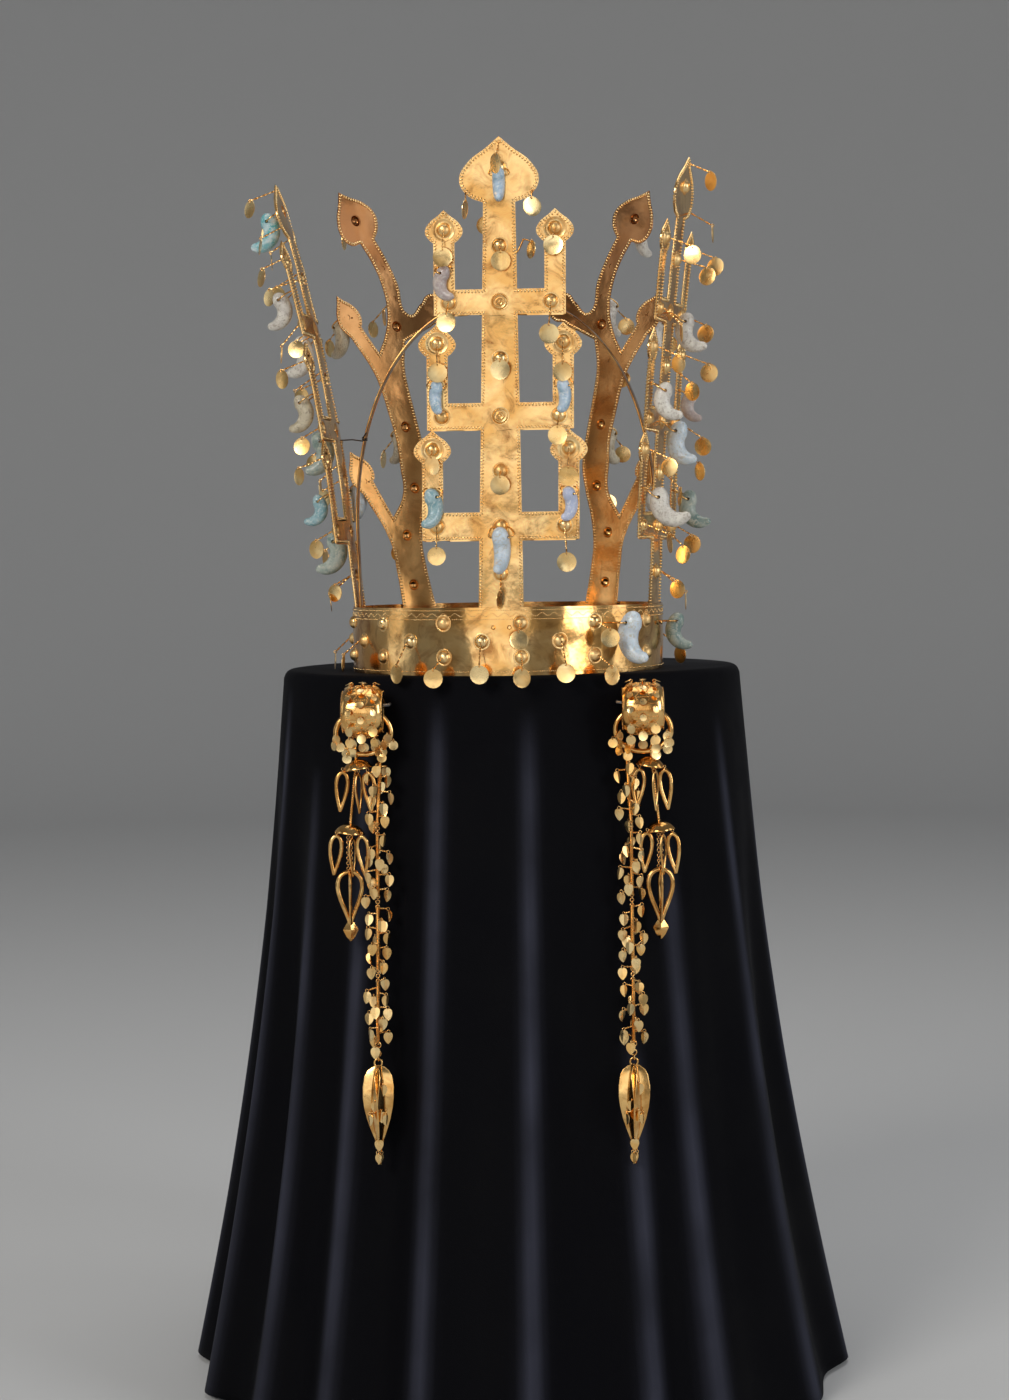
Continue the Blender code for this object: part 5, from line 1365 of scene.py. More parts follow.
def antler_outline():
    half = ANTLER_FOOT_WIDTH / 2
    neck, far_neck, tip = [antler_point(row) for row in ANTLER_TOP_BUD]
    rows = [corner(half, 0), corner(half, 0.9 * BAND_HEIGHT), *soft_run(ANTLER_OUTER_FOOT), *tine(LOWER_TINE)]
    rows += soft_run(ANTLER_OUTER_WAIST) + tine(UPPER_TINE) + soft_run(ANTLER_OUTER_NECK)
    rows += bud(neck, far_neck, tip, ANTLER_BUD_WIDTH / 2)
    rows += soft_run(ANTLER_INNER_NECK) + tine(INNER_TINE) + soft_run(ANTLER_INNER_WAIST)
    return rows + [corner(-half, 0.9 * BAND_HEIGHT), corner(-half, 0)]


def edge_at(rows, height):
    """How far across an edge of the antler is at a share of its height."""
    rows = sorted(rows)
    for (low, start), (high, end) in zip(rows, rows[1:]):
        if low <= height <= high:
            return start + (end - start) * (height - low) / (high - low)
    return rows[-1][1]


def antler_stations():
    foot = ANTLER_FOOT_WIDTH / 2 / ANTLER_SPREAD
    outer = [(0.0, foot), *ANTLER_OUTER_FOOT, LOWER_TINE[0], LOWER_TINE[3], *ANTLER_OUTER_WAIST]
    outer += [UPPER_TINE[0], UPPER_TINE[3], *ANTLER_OUTER_NECK]
    inner = [(0.0, -foot), *ANTLER_INNER_WAIST, INNER_TINE[3], INNER_TINE[0], *ANTLER_INNER_NECK]
    stations = {}
    for name, (height, _) in ANTLER_KNOBS.items():
        across = (edge_at(outer, height) + edge_at(inner, height)) / 2
        stations[name] = tuple(antler_point((height, across)))
    for name, (rows, share, _) in BUD_KNOBS.items():
        neck, far_neck, tip = [antler_point(row) for row in (rows[1], rows[2], rows[4])]
        stations[name] = tuple(((neck + far_neck) / 2).lerp(tip, share))
    neck, far_neck, tip = [antler_point(row) for row in ANTLER_TOP_BUD]
    stations["bud"] = tuple(((neck + far_neck) / 2).lerp(tip, 0.42))
    return stations


antler_gold = gold_finish("antler_gold", stain_amount=0.55, patch_size=0.035, dent_depth=0.00022)
antler_tree = antler_gold.node_tree
antler_group = next(node for node in antler_tree.nodes if node.type == "GROUP")
place = shader(antler_tree, "ShaderNodeTexCoord").outputs["Object"]
heights = shader(antler_tree, "ShaderNodeSeparateXYZ", {0: place}).outputs["Z"]
# Painted shade: up the sheet the antler gold turns from a darker gold to a dark red-brown, for the shade and
# dark reflection on the antlers' inner faces.
painted_shade_rise = ranged(antler_tree, heights, PAINTED_SHADE_START, PAINTED_SHADE_END)
for socket, low_colour, high_colour in (
    ("Bright", (0.88, 0.50, 0.19, 1), (0.46, 0.235, 0.10, 1)),
    ("Deep", (0.66, 0.34, 0.11, 1), (0.30, 0.135, 0.055, 1)),
):
    colour = mixed(antler_tree, painted_shade_rise, low_colour, high_colour)
    antler_tree.links.new(colour, antler_group.inputs[socket])

antlers = antler_stations()
antler_domes = {name: word for name, (_, word) in ANTLER_KNOBS.items()}
antler_domes.update({name: word for name, (_, _, word) in BUD_KNOBS.items()})
antler_domes["bud"] = "plain"
for key in ("antler_left", "antler_right"):
    build_upright(key, antler_outline(), antlers, antler_domes, antler_gold)


# Inner straps: two thin gold straps riveted where they cross over the head, with their feet in the staples.
# The rivet's head is drawn out to a twig with gold leaves.

STRAP_WIDTH = 0.0070
STRAP_THICKNESS = 0.0008
STRAP_RISE = 0.224
STRAP_HIP_HEIGHT = 0.088
STRAP_HIP_OUT = 0.0014
STRAP_FOOT = 0.018
STRAP_BACK = 180
STRAP_STEPS = 44
SPRAY_HEIGHT = 0.046
# Painted shade: the straps and the twig get a darker, browner gold than the sheet gold, for the shade inside
# the crown.
shaded_strap_gold = gold_finish(
    "shaded_strap_gold", bright=(0.80, 0.46, 0.15, 1), deep=(0.45, 0.20, 0.06, 1), stain_amount=0.7, patch_size=0.02,
)


def strap_radius(rise):
    foot = BAND_RADIUS - 0.0008 - 3.4 * PIECE_GAP - SHEET - STRAP_THICKNESS / 2
    share = min(max((rise - BAND_HEIGHT) / (STRAP_HIP_HEIGHT - BAND_HEIGHT), 0), 1)
    return foot + STRAP_HIP_OUT * share


def strap_leg(lift):
    rows = [(strap_radius(rise), rise) for rise in (STRAP_FOOT, BAND_HEIGHT, 0.055, 0.07, STRAP_HIP_HEIGHT)]
    hip = rows[-1][0]
    for step in range(1, STRAP_STEPS + 1):
        turn = math.pi / 2 * step / STRAP_STEPS
        rise = STRAP_HIP_HEIGHT + (STRAP_RISE - lift - STRAP_HIP_HEIGHT) * math.sin(turn) ** 0.92
        rows.append((hip * max(math.cos(turn), 0) ** 0.92, rise))
    return rows


def bent_strap(name, first, second, lift):
    """A flat strap bent to an arch whose legs stand at two azimuths."""
    leg = strap_leg(lift)
    rows = [(first, across, rise, -1) for across, rise in leg[:-1]]
    rows += [(0, 0, leg[-1][1], 0)]
    rows += [(second, across, rise, 1) for across, rise in reversed(leg[:-1])]
    bpy.ops.mesh.primitive_grid_add(x_subdivisions=len(rows) - 1, y_subdivisions=2, size=1)
    made = bpy.context.object
    middle = (sideways(second) - sideways(first)).normalized()
    for vertex in made.data.vertices:
        step = round((vertex.co.x + 0.5) * (len(rows) - 1))
        azimuth, across, rise, half_of = rows[step]
        side = {-1: -sideways(first), 0: middle, 1: sideways(second)}[half_of]
        level = outward(azimuth) * across if half_of else Vector((0, 0, 0))
        vertex.co = CROWN_FOOT + level + UP * rise + side * (STRAP_WIDTH * vertex.co.y)
    use_modifier(made, "SOLIDIFY", thickness=STRAP_THICKNESS, offset=0)
    use_modifier(made, "BEVEL", width=0.00022, segments=2)
    bpy.ops.object.shade_smooth_by_angle(angle=math.radians(40))
    made.data.materials.append(shaded_strap_gold)
    made.name = name
    return made


side_arch = bent_strap("side_arch", UPRIGHTS["left"].azimuth, UPRIGHTS["right"].azimuth, 0.0)
front_arch = bent_strap("front_arch", STRAP_BACK, 0, STRAP_THICKNESS + 2.5 * PIECE_GAP)
for arch, node in ((side_arch, "strap_side"), (front_arch, "strap_front")):
    replace_solid(arch, node)


# A dark wire is wound round the left leg of the side arch and hooked to the left tree.
TIE_RISE = 0.141
TIE_WIRE = 0.00040
TIE_POINTS = 19
TIE_POINTS_A_TURN = 8
TIE_OUT = 0.0011
TIE_SIDE = 0.0042
TIE_PITCH = 0.0009
tie_steel, tie_tree, tie_body = new_material("dark_wire", {"Metallic": 1.0, "Roughness": 0.5})
rust = object_noise(tie_tree, 500.0, 3.0)
feed(tie_body, Base_Color=mixed(tie_tree, rust, (0.035, 0.030, 0.028, 1), (0.12, 0.09, 0.07, 1)))
left = UPRIGHTS["left"]
tie_rows = [row for row in strap_leg(0.0) if row[1] <= TIE_RISE]
tie_level = outward(left.azimuth)
tie_at = CROWN_FOOT + tie_level * tie_rows[-1][0] + UP * tie_rows[-1][1]
tie_side = sideways(left.azimuth)
tie_end = sheet_place(left, 0.0, TIE_RISE, -0.0010)
tie = [tie_end, tie_at.lerp(tie_end, 0.5) + UP * 0.0006]
for i in range(TIE_POINTS):
    turn = 2 * math.pi * i / TIE_POINTS_A_TURN
    ring_out = tie_level * (TIE_OUT * math.cos(turn)) + tie_side * (TIE_SIDE * math.sin(turn))
    tie.append(tie_at + ring_out + UP * (TIE_PITCH * i / TIE_POINTS_A_TURN))
tie.append(tie_at + tie_side * 0.0090 + UP * 0.0045 - tie_level * 0.003)
tie_wire = joined([wire_along("tie_wire", tie, TIE_WIRE, tie_steel, smooth=False)], "tie_wire")
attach(tie_wire, "root")

# The rivet and its twig: radius in millimetres, and height in metres.
SPRAY_STEM = (
    (0.0, -0.0046), (1.8, -0.0044), (2.0, -0.0034), (1.6, -0.0030), (0.8, -0.0028), (0.8, 0.0008),
    (2.2, 0.0010), (2.3, 0.0016), (1.4, 0.0026), (1.1, 0.0080), (0.9, 0.0250), (0.7, 0.0450), (0.0, 0.0460),
)
SPRAY_TWIGS = (
    (80, 0.45, 0.28, 0.30), (200, 0.60, 0.26, 0.34), (320, 0.75, 0.22, 0.30), (20, 0.30, 0.24, 0.22),
)
crossing = CROWN_FOOT + UP * STRAP_RISE
spray_stem = turned("spray_stem", [(r * MM, z) for r, z in SPRAY_STEM], 10, shaded_strap_gold)
spray_stem.location = crossing
spray_parts = [spray_stem]
for azimuth, fork, reach, rise in SPRAY_TWIGS:
    level = outward(azimuth)
    start = crossing + UP * (fork * SPRAY_HEIGHT)
    end = start + level * (reach * SPRAY_HEIGHT) + UP * (rise * SPRAY_HEIGHT)
    bow = start.lerp(end, 0.5) + level * 0.002 + DOWN * 0.001
    spray_parts.append(wire_along("twig", [start, bow, end], 0.0006, shaded_strap_gold))
    spray_parts += hang_spangle(end, end + level * 0.004 + DOWN * 0.0012, azimuth + 40, 4)
top = crossing + UP * SPRAY_HEIGHT
spray_parts += hang_spangle(top, top + outward(0) * 0.006 + DOWN * 0.001, 30, 5)
spray = joined(spray_parts, "crossing_spray")
replace_solid(spray, "strap_spray")


# Staples: bent gold wire that clamps each foot to the band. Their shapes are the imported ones.
# Pendant pins: bent steel wire, also as packed.

pin_steel, pin_tree, pin_body = new_material("pin_steel", {
    "Metallic": 1.0, "Base Color": (0.42, 0.41, 0.40, 1),
})
feed(pin_body, Roughness=ranged(pin_tree, object_noise(pin_tree, 900.0, 3.0), 0.0, 1.0, 0.25, 0.5))
for name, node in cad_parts.items():
    if name.startswith(("staple_", "pendant_pin_")):
        finished(node, wire_gold if name.startswith("staple_") else pin_steel)


# Jades: commas ground from pale green, blue and white stone, drilled through the head for their wire.
# Each is its own piece, in one of a few mottled colours.

JADE_HEAD_ANGLE = math.radians(50)
JADE_TAIL_ANGLE = math.radians(-95)
JADE_BEND = 0.386
JADE_FLATNESS = 0.85
JADE_HOLE_RADIUS = 0.0012
BAND_JADES = ((45, 0.74, 1.15, 4, "pale"), (84, 0.72, 0.85, 6, "moss"))
HEAD_START = -0.22
TAIL_ROUND = 0.97
TAIL_END = 1.07
# A comma's radius along its spine: share of the spine, and share of its length.
JADE_PROFILE = (
    (0.00, 0.215), (0.28, 0.218), (0.50, 0.202), (0.70, 0.175), (0.86, 0.142), (0.97, 0.108),
)


def jade_thickness(share):
    """A comma's radius at a share of its spine, rounded off at both ends."""
    if share <= 0:
        return JADE_PROFILE[0][1] * math.sqrt(max(1 - (share / HEAD_START) ** 2, 0))
    if share >= TAIL_ROUND:
        past = (share - TAIL_ROUND) / (TAIL_END - TAIL_ROUND)
        return JADE_PROFILE[-1][1] * math.sqrt(max(1 - past ** 2, 0))
    for (low, start), (high, end) in zip(JADE_PROFILE, JADE_PROFILE[1:]):
        if share <= high:
            return start + (end - start) * (share - low) / (high - low)


def comma_master():
    """A comma of length 1, bent in the XZ plane, hollow towards +X, with its hole at the origin."""
    bpy.ops.mesh.primitive_uv_sphere_add(segments=20, ring_count=30, radius=1)
    made = bpy.context.object
    sweep = JADE_TAIL_ANGLE - JADE_HEAD_ANGLE
    centre = Vector((JADE_BEND * math.cos(JADE_HEAD_ANGLE), 0, -JADE_BEND * math.sin(JADE_HEAD_ANGLE)))
    for vertex in made.data.vertices:
        x, y, z = vertex.co
        share = HEAD_START + (TAIL_END - HEAD_START) * (1 - z) / 2
        girth = max(math.hypot(x, y), 1e-6)
        angle = JADE_HEAD_ANGLE + sweep * share
        off = Vector((-math.cos(angle), 0, math.sin(angle)))
        radius = jade_thickness(share)
        spine = centre + off * JADE_BEND
        vertex.co = spine + off * (x / girth * radius) + Vector((0, y / girth * radius * JADE_FLATNESS, 0))
        if girth < 1e-5:
            vertex.co = spine
    with editing(made):
        bpy.ops.mesh.normals_make_consistent(inside=False)
    bpy.ops.mesh.primitive_cylinder_add(vertices=12, radius=JADE_HOLE_RADIUS / JADE_LENGTH, depth=1)
    drill = bpy.context.object
    drill.rotation_euler = (math.pi / 2, 0, 0)
    drilled(made, drill)
    bpy.ops.object.shade_smooth_by_angle(angle=math.radians(50))
    return made


def mottled_stone_group():
    """Mottled stone's colour, roughness and normal: pale and deep clouds with thin veins."""
    colours = [(name, "NodeSocketColor", None) for name in ("Pale", "Deep", "Vein")]
    tree, given = effect_group("mottled stone", colours, EFFECT_OUTPUTS)
    clouds = object_noise(tree, 120.0, 5.0, Distortion=1.0)
    body = mixed(tree, ranged(tree, clouds, 0.38, 0.62), given["Pale"], given["Deep"])
    specks = object_noise(tree, 420.0, 6.0, Distortion=2.0)
    veins = ranged(tree, specks, 0.53, 0.64, 0.0, 0.75)
    shader(tree, "NodeGroupOutput", {
        "Color": mixed(tree, veins, body, given["Vein"]),
        "Roughness": ranged(tree, clouds, 0.0, 1.0, 0.25, 0.5),
        "Normal": bump(tree, 0.3, 0.0003, specks),
    })
    return tree


MOTTLED_STONE = mottled_stone_group()


def jade_finish(name, stone):
    """One colour of mottled stone under a worn polish."""
    made, _, body = new_material(name, {
        "Subsurface Weight": 0.25, "Subsurface Radius": (0.5, 0.6, 0.5), "Subsurface Scale": 0.003,
        "Coat Weight": stone.gloss, "Coat Roughness": 0.15,
    })
    colours = {"Pale": stone.pale, "Deep": stone.deep, "Vein": stone.vein}
    use_effect(body, MOTTLED_STONE, {word: (*colour, 1) for word, colour in colours.items()})
    return made


Stone = namedtuple("Stone", "pale deep vein gloss")
STONES = {
    "sky": Stone((0.56, 0.66, 0.76), (0.30, 0.45, 0.56), (0.76, 0.78, 0.76), 0.3),
    "pale": Stone((0.68, 0.74, 0.78), (0.50, 0.60, 0.68), (0.50, 0.46, 0.36), 0.4),
    "lilac": Stone((0.58, 0.60, 0.74), (0.42, 0.47, 0.62), (0.74, 0.74, 0.76), 0.3),
    "teal": Stone((0.38, 0.52, 0.54), (0.16, 0.32, 0.36), (0.64, 0.70, 0.66), 0.5),
    "turquoise": Stone((0.60, 0.72, 0.74), (0.10, 0.40, 0.44), (0.7, 0.74, 0.7), 0.4),
    "white": Stone((0.72, 0.68, 0.60), (0.56, 0.52, 0.46), (0.34, 0.28, 0.22), 0.3),
    "cream": Stone((0.62, 0.55, 0.40), (0.44, 0.37, 0.25), (0.24, 0.18, 0.12), 0.3),
    "rose": Stone((0.56, 0.46, 0.40), (0.40, 0.32, 0.30), (0.62, 0.58, 0.54), 0.3),
    "moss": Stone((0.42, 0.46, 0.40), (0.16, 0.24, 0.22), (0.60, 0.58, 0.48), 0.3),
}
jade_finishes = {word: jade_finish(f"jade_{word}", stone) for word, stone in STONES.items()}
comma = comma_master()
all_seats["band"] = []
for azimuth, height, size, tilt, colour in BAND_JADES:
    foot = band_place(azimuth, height * BAND_HEIGHT)
    seat = JadeSeat(foot, outward(azimuth), size * JADE_LENGTH, tilt, 0, 0)
    all_seats["band"].append((seat, colour))
for key, seats in all_seats.items():
    for count, (seat, colour) in enumerate(seats, 1):
        axes = Matrix((seat.level, UP.cross(seat.level), UP)).transposed()
        swung = Matrix.Rotation(math.radians(seat.swing), 3, "Z") @ axes
        tilted = swung @ Matrix.Rotation(math.radians(-seat.tilt), 3, "Y")
        stone_place = Matrix.Translation(jade_head(seat)) @ tilted.to_4x4() @ Matrix.Scale(seat.length, 4)
        stone = finished(joined([copy_at(comma, stone_place)], f"comma_{key}_{count}"), jade_finishes[colour])
        replace_solid(stone, f"jade_{key}_{count}")
band_threads = joined([jade_thread(seat) for seat, _ in all_seats["band"]], "band_jade_threads")
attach(band_threads, "root")
put_away(comma)


# Thick rings: the hollow gold rings at the top of the pendants, round as balls, with granules soldered on
# in a net and small round leaves on wires. A slim ring passes through each, and it carries the two strands.

PENDANT_OUT = 0.080
PENDANT_DROP = 0.0045
THICK_RING_RADIUS = 0.015
THICK_RING_HOLE = 0.0048
THICK_RING_WIDTH = 0.0245
THICK_RING_OFF = 0.0056
SLIM_RING_WIDTH = 0.0350
SLIM_RING_HEIGHT = 0.0283
SLIM_RING_WIRE = 0.0016
SLIM_RING_RISE = 0.0006
NET_COLUMNS = 12
NET_ROWS = (-0.62, -0.22, 0.22, 0.62)
NET_SWAY = 0.09
NET_RIMS = (-0.93, 0.93)
SMALL_LEAF_DROP = 0.0016
SMALL_LEAF_SIZE = 0.36
SIDES = {"left": -1, "right": 1}
RIGHT = Vector((1, 0, 0))
pendant_gold = gold_finish(
    "pendant_gold", bright=(0.98, 0.63, 0.24, 1), deep=(0.70, 0.36, 0.10, 1), stain_amount=0.5,
    patch_size=0.012, dent_depth=0.0002,
)


def hang_place(side, out, drop, off):
    """A point in front of the cloth: out from the crown's middle, drop below the top, and off the cloth."""
    radius = cloth_radius(max(drop, 0) / STAND_HEIGHT)
    return Vector((side * out, -math.sqrt(radius ** 2 - PENDANT_OUT ** 2) - off, STAND_HEIGHT - drop))


def rounded(value, power):
    return math.copysign(abs(value) ** power, value)


def barrel_point(turn, tilt, out=0.0):
    """A point on the thick ring about the X axis: turn round the ring, and tilt round its section."""
    middle = (THICK_RING_RADIUS + THICK_RING_HOLE) / 2
    half = (THICK_RING_RADIUS - THICK_RING_HOLE) / 2
    away = middle + half * rounded(math.cos(tilt), 0.9) + out * math.cos(tilt)
    along = THICK_RING_WIDTH / 2 * rounded(math.sin(tilt), 0.9) + out * math.sin(tilt)
    return Vector((along, away * math.cos(turn), away * math.sin(turn)))


GRANULE_PITCH = 0.00105
granule = bead_master("granule", 0.00042, pendant_gold)


def granule_row(turns_and_tilts):
    """Granules on the thick ring along a line of turns and tilts."""
    scale = THICK_RING_RADIUS
    flat = [(turn * scale, tilt * scale) for turn, tilt in turns_and_tilts]
    made = joined([dotted(flat, 0.0, closed=False, pitch=GRANULE_PITCH, bead=granule)], "granules")
    return bent(made, lambda x, y, out: barrel_point(x / scale, y / scale, out))


def thick_ring_parts():
    ring = wire_ring("thick_ring", 1, 0.4, 44, 28, pendant_gold)
    for vertex in ring.data.vertices:
        x, y, z = vertex.co
        vertex.co = barrel_point(math.atan2(y, x), math.atan2(z, math.hypot(x, y) - 1))
    column = 2 * math.pi / NET_COLUMNS
    lines = []
    steps = range(2 * NET_COLUMNS + 1)
    for count, row in enumerate(NET_ROWS):
        sway = NET_SWAY * (1 if count % 2 else -1)
        lines.append([(column / 2 * i, math.asin(row) + sway * (1 if i % 2 else -1)) for i in steps])
    for row in NET_RIMS:
        lines.append([(column / 2 * i, math.asin(row)) for i in steps])
    for lower, upper, start in ((0, 1, 1), (1, 2, 0), (2, 3, 1)):
        for i in range(start, 2 * NET_COLUMNS, 2):
            lines.append([lines[lower][i], lines[upper][i]])
    return [ring, *(granule_row(line) for line in lines)]


def small_leaves_round_ball():
    """Round leaves on short wires, lying on the ball above its middle and hanging plumb below."""
    parts = []
    column = 2 * math.pi / NET_COLUMNS
    for i in range(NET_COLUMNS):
        for row, shift in ((-0.45, 0.5), (0.0, 0.0), (0.45, 0.5)):
            turn = column * (i + shift) + 0.15
            foot = barrel_point(turn, math.asin(row))
            normal = (barrel_point(turn, math.asin(row), 0.001) - foot).normalized()
            if normal.y > 0.55:
                continue
            eye = foot + normal * 0.0016
            if normal.z > -0.15:
                lie = (DOWN - normal * normal.dot(DOWN)).normalized() + normal * 0.25
                spin = normal.cross(lie).normalized()
                place = Matrix((spin, -lie.normalized(), normal)).transposed().to_4x4()
                leaf_place = Matrix.Translation(eye + normal * 0.0004) @ place
                leaf_place = leaf_place @ Matrix.Translation((0, -SMALL_LEAF_DROP, 0))
                parts.append(copy_at(disc, leaf_place @ Matrix.Scale(SMALL_LEAF_SIZE, 4)))
                across = Matrix.Rotation(math.pi / 2, 4, "Y")
                parts.append(copy_at(wire_loop, Matrix.Translation(eye) @ place @ across))
                parts.append(copy_at(stem, place_along(foot, eye, STEM_MADE)))
            else:
                swing = random.uniform(-40, 40)
                parts += hang_spangle(foot, eye + DOWN * 0.0008, swing, random.uniform(-10, 10), 0.5)
    return parts


ball_at = {}
slim_at = {}
for word, side in SIDES.items():
    drop = PENDANT_DROP + THICK_RING_RADIUS
    ball_at[word] = hang_place(side, PENDANT_OUT, drop, THICK_RING_RADIUS + THICK_RING_OFF)
    ball = joined(thick_ring_parts() + small_leaves_round_ball(), f"ball_ring_{word}")
    ball.location = ball_at[word]
    joined([ball], f"ball_ring_{word}")
    replace_solid(ball, f"thick_ring_{word}")


# Slim rings: plain oval rings of thick wire that pass through the thick rings, with round leaves on their
# lower side.

SLIM_HALF_WIDTH = SLIM_RING_WIDTH / 2 - SLIM_RING_WIRE
SLIM_HALF_HEIGHT = SLIM_RING_HEIGHT / 2 - SLIM_RING_WIRE
SLIM_STEPS = 20
SLIM_LEAVES = (-0.97, -0.80, -0.55, 0.60, 0.84, 0.97)


def slim_ring_under(middle, x):
    """The middle of the slim ring's wire at x, on its lower side."""
    share = (x - middle.x) / SLIM_HALF_WIDTH
    return Vector((x, middle.y, middle.z - SLIM_HALF_HEIGHT * math.sqrt(1 - share * share)))


for word, side in SIDES.items():
    middle = ball_at[word] + DOWN * (SLIM_HALF_HEIGHT - SLIM_RING_RISE)
    slim_at[word] = middle
    round_way = []
    for i in range(SLIM_STEPS):
        angle = 2 * math.pi * i / SLIM_STEPS
        across = RIGHT * SLIM_HALF_WIDTH * math.sin(angle)
        round_way.append(middle + across + UP * SLIM_HALF_HEIGHT * math.cos(angle))
    parts = [wire_along("slim_ring", round_way, SLIM_RING_WIRE, pendant_gold, closed=True, sides=3)]
    for share in SLIM_LEAVES:
        foot = slim_ring_under(middle, middle.x + share * SLIM_HALF_WIDTH) - Vector((0, SLIM_RING_WIRE, 0))
        for lift in (0, 1):
            across = random.uniform(-0.002, 0.002)
            eye = foot + Vector((across, -0.0022 - 0.001 * lift, -0.001 + 0.003 * lift))
            parts += hang_spangle(foot, eye, random.uniform(-50, 50), random.uniform(-8, 8), 0.5)
    slim = joined(parts, f"slim_oval_{word}")
    replace_solid(slim, f"slim_ring_{word}")


# Short strands: two caps like small hats on a plaited chain and a chain of double links, with three flat gold
# teardrops under each cap and a bladed cage with a spade tip at the end. All hang freely from the slim ring.

LOOP_SAG = 0.0003
STRAND_LOOP_RADIUS = 0.0035
STRAND_LOOP_WIRE = 0.0007
CANOPY_RADIUS = 0.0088
CANOPY_HEIGHT = 0.0060
CHAIN_RADIUS = 0.0014
UPPER_CHAIN = 0.0305
LOWER_CHAIN = 0.0215
DROP_LENGTH = 0.0235
DROP_WIDTH = 0.0085
DROP_BAR = 0.0010
CAGE_LENGTH = 0.040
CAGE_WIDTH = 0.0165
CAGE_BAR = 0.0011
SHORT_STRAND_OUT = 0.0045
STRAND_OFF = 0.0120
PLAIT_WIRE = 0.00055
PLAIT_TURN = 0.0042


def strand_point(start, side, out, drop, off, settle):
    """A point that goes from straight below start to its place off the cloth, as settle goes 0 to 1."""
    landed = hang_place(side, out, drop, off)
    return Vector((start.x, start.y, landed.z)).lerp(landed, min(max(settle, 0), 1))


def teardrop_master(name, length, width, bar, flatness, power):
    """A closed teardrop of flat bar with its eye at the origin, round at the top and pointed below."""
    steps = 30
    turns = [2 * math.pi * (i + 0.5) / steps for i in range(steps)]
    widest = max(math.sin(turn) * math.sin(turn / 2) ** power for turn in turns)
    points = []
    for turn in turns:
        across = math.sin(turn) * math.sin(turn / 2) ** power / widest * (width / 2 - bar)
        points.append(Vector((across, 0, -length * (1 + math.cos(turn)) / 2)))
    made = wire_along(name, points, bar, pendant_gold, closed=True, smooth=False)
    for vertex in made.data.vertices:
        vertex.co.y *= flatness
    bpy.ops.object.shade_smooth_by_angle(angle=math.radians(50))
    return made


CAP_ROWS = (
    (0.0, 0.0), (1.4, -0.05), (2.9, -0.35), (4.5, -1.0), (6.0, -2.0), (7.3, -3.3), (8.3, -4.6), (8.8, -5.3),
    (8.8, -5.7), (8.3, -5.9), (6.6, -5.2), (4.0, -4.4), (0.0, -4.0),
)
cap = turned("chain_cap", in_millimetres(CAP_ROWS), 24, pendant_gold)
for vertex in cap.data.vertices:
    vertex.co.y *= 0.86 - 0.30 * (abs(vertex.co.x) / CANOPY_RADIUS) ** 3
flat_drop = teardrop_master("flat_drop", DROP_LENGTH - 0.0015, DROP_WIDTH, DROP_BAR, 0.55, 1.3)
cage_wing = teardrop_master("cage_wing", CAGE_LENGTH * 0.78, CAGE_WIDTH, 1.15 * CAGE_BAR, 0.70, 1.9)
SPADE_ROWS = (
    (0.0, 0.4), (1.2, 0.2), (1.5, -0.6), (4.3, -5.0), (4.4, -5.6), (2.6, -9.4), (0.5, -12.0), (0.0, -12.2),
)
spade = turned("spade_tip", in_millimetres(SPADE_ROWS), 4, pendant_gold)
for vertex in spade.data.vertices:
    vertex.co.y *= 0.42


def plaited(start, end):
    """A plait of three wires between two points."""
    along = end - start
    count = max(int(along.length / PLAIT_TURN * 8), 8)
    place = place_along(start, end)
    strands = []
    for strand in range(3):
        points = []
        for i in range(count + 1):
            turn = 2 * math.pi * (i / 8 + strand / 3)
            across = (CHAIN_RADIUS - PLAIT_WIRE) * 1.15 * math.sin(turn)
            out = PLAIT_WIRE * 0.9 * math.sin(2 * turn)
            points.append(place @ Vector((along.length * i / count, across, out)))
        strands.append(wire_along("plait", points, PLAIT_WIRE, pendant_gold, smooth=False, sides=1))
    return strands


def linked(start, end, pitch, size):
    """A chain of small round links, turned by turns, between two points."""
    along = end - start
    count = max(round(along.length / pitch), 1)
    links = []
    for i in range(count + 1):
        spot = start + along * (i / count)
        turn = Matrix.Rotation(math.radians(90 * (i % 2) + 12), 4, "Z") @ Matrix.Rotation(math.pi / 2, 4, "X")
        links.append(copy_at(wire_loop, Matrix.Translation(spot) @ turn @ Matrix.Scale(size, 4)))
    return links


def hung_plumb(master, eye, swing, lean=0.0):
    turn = Matrix.Rotation(math.radians(swing), 4, "Z") @ Matrix.Rotation(math.radians(lean), 4, "Y")
    return copy_at(master, Matrix.Translation(eye) @ turn)


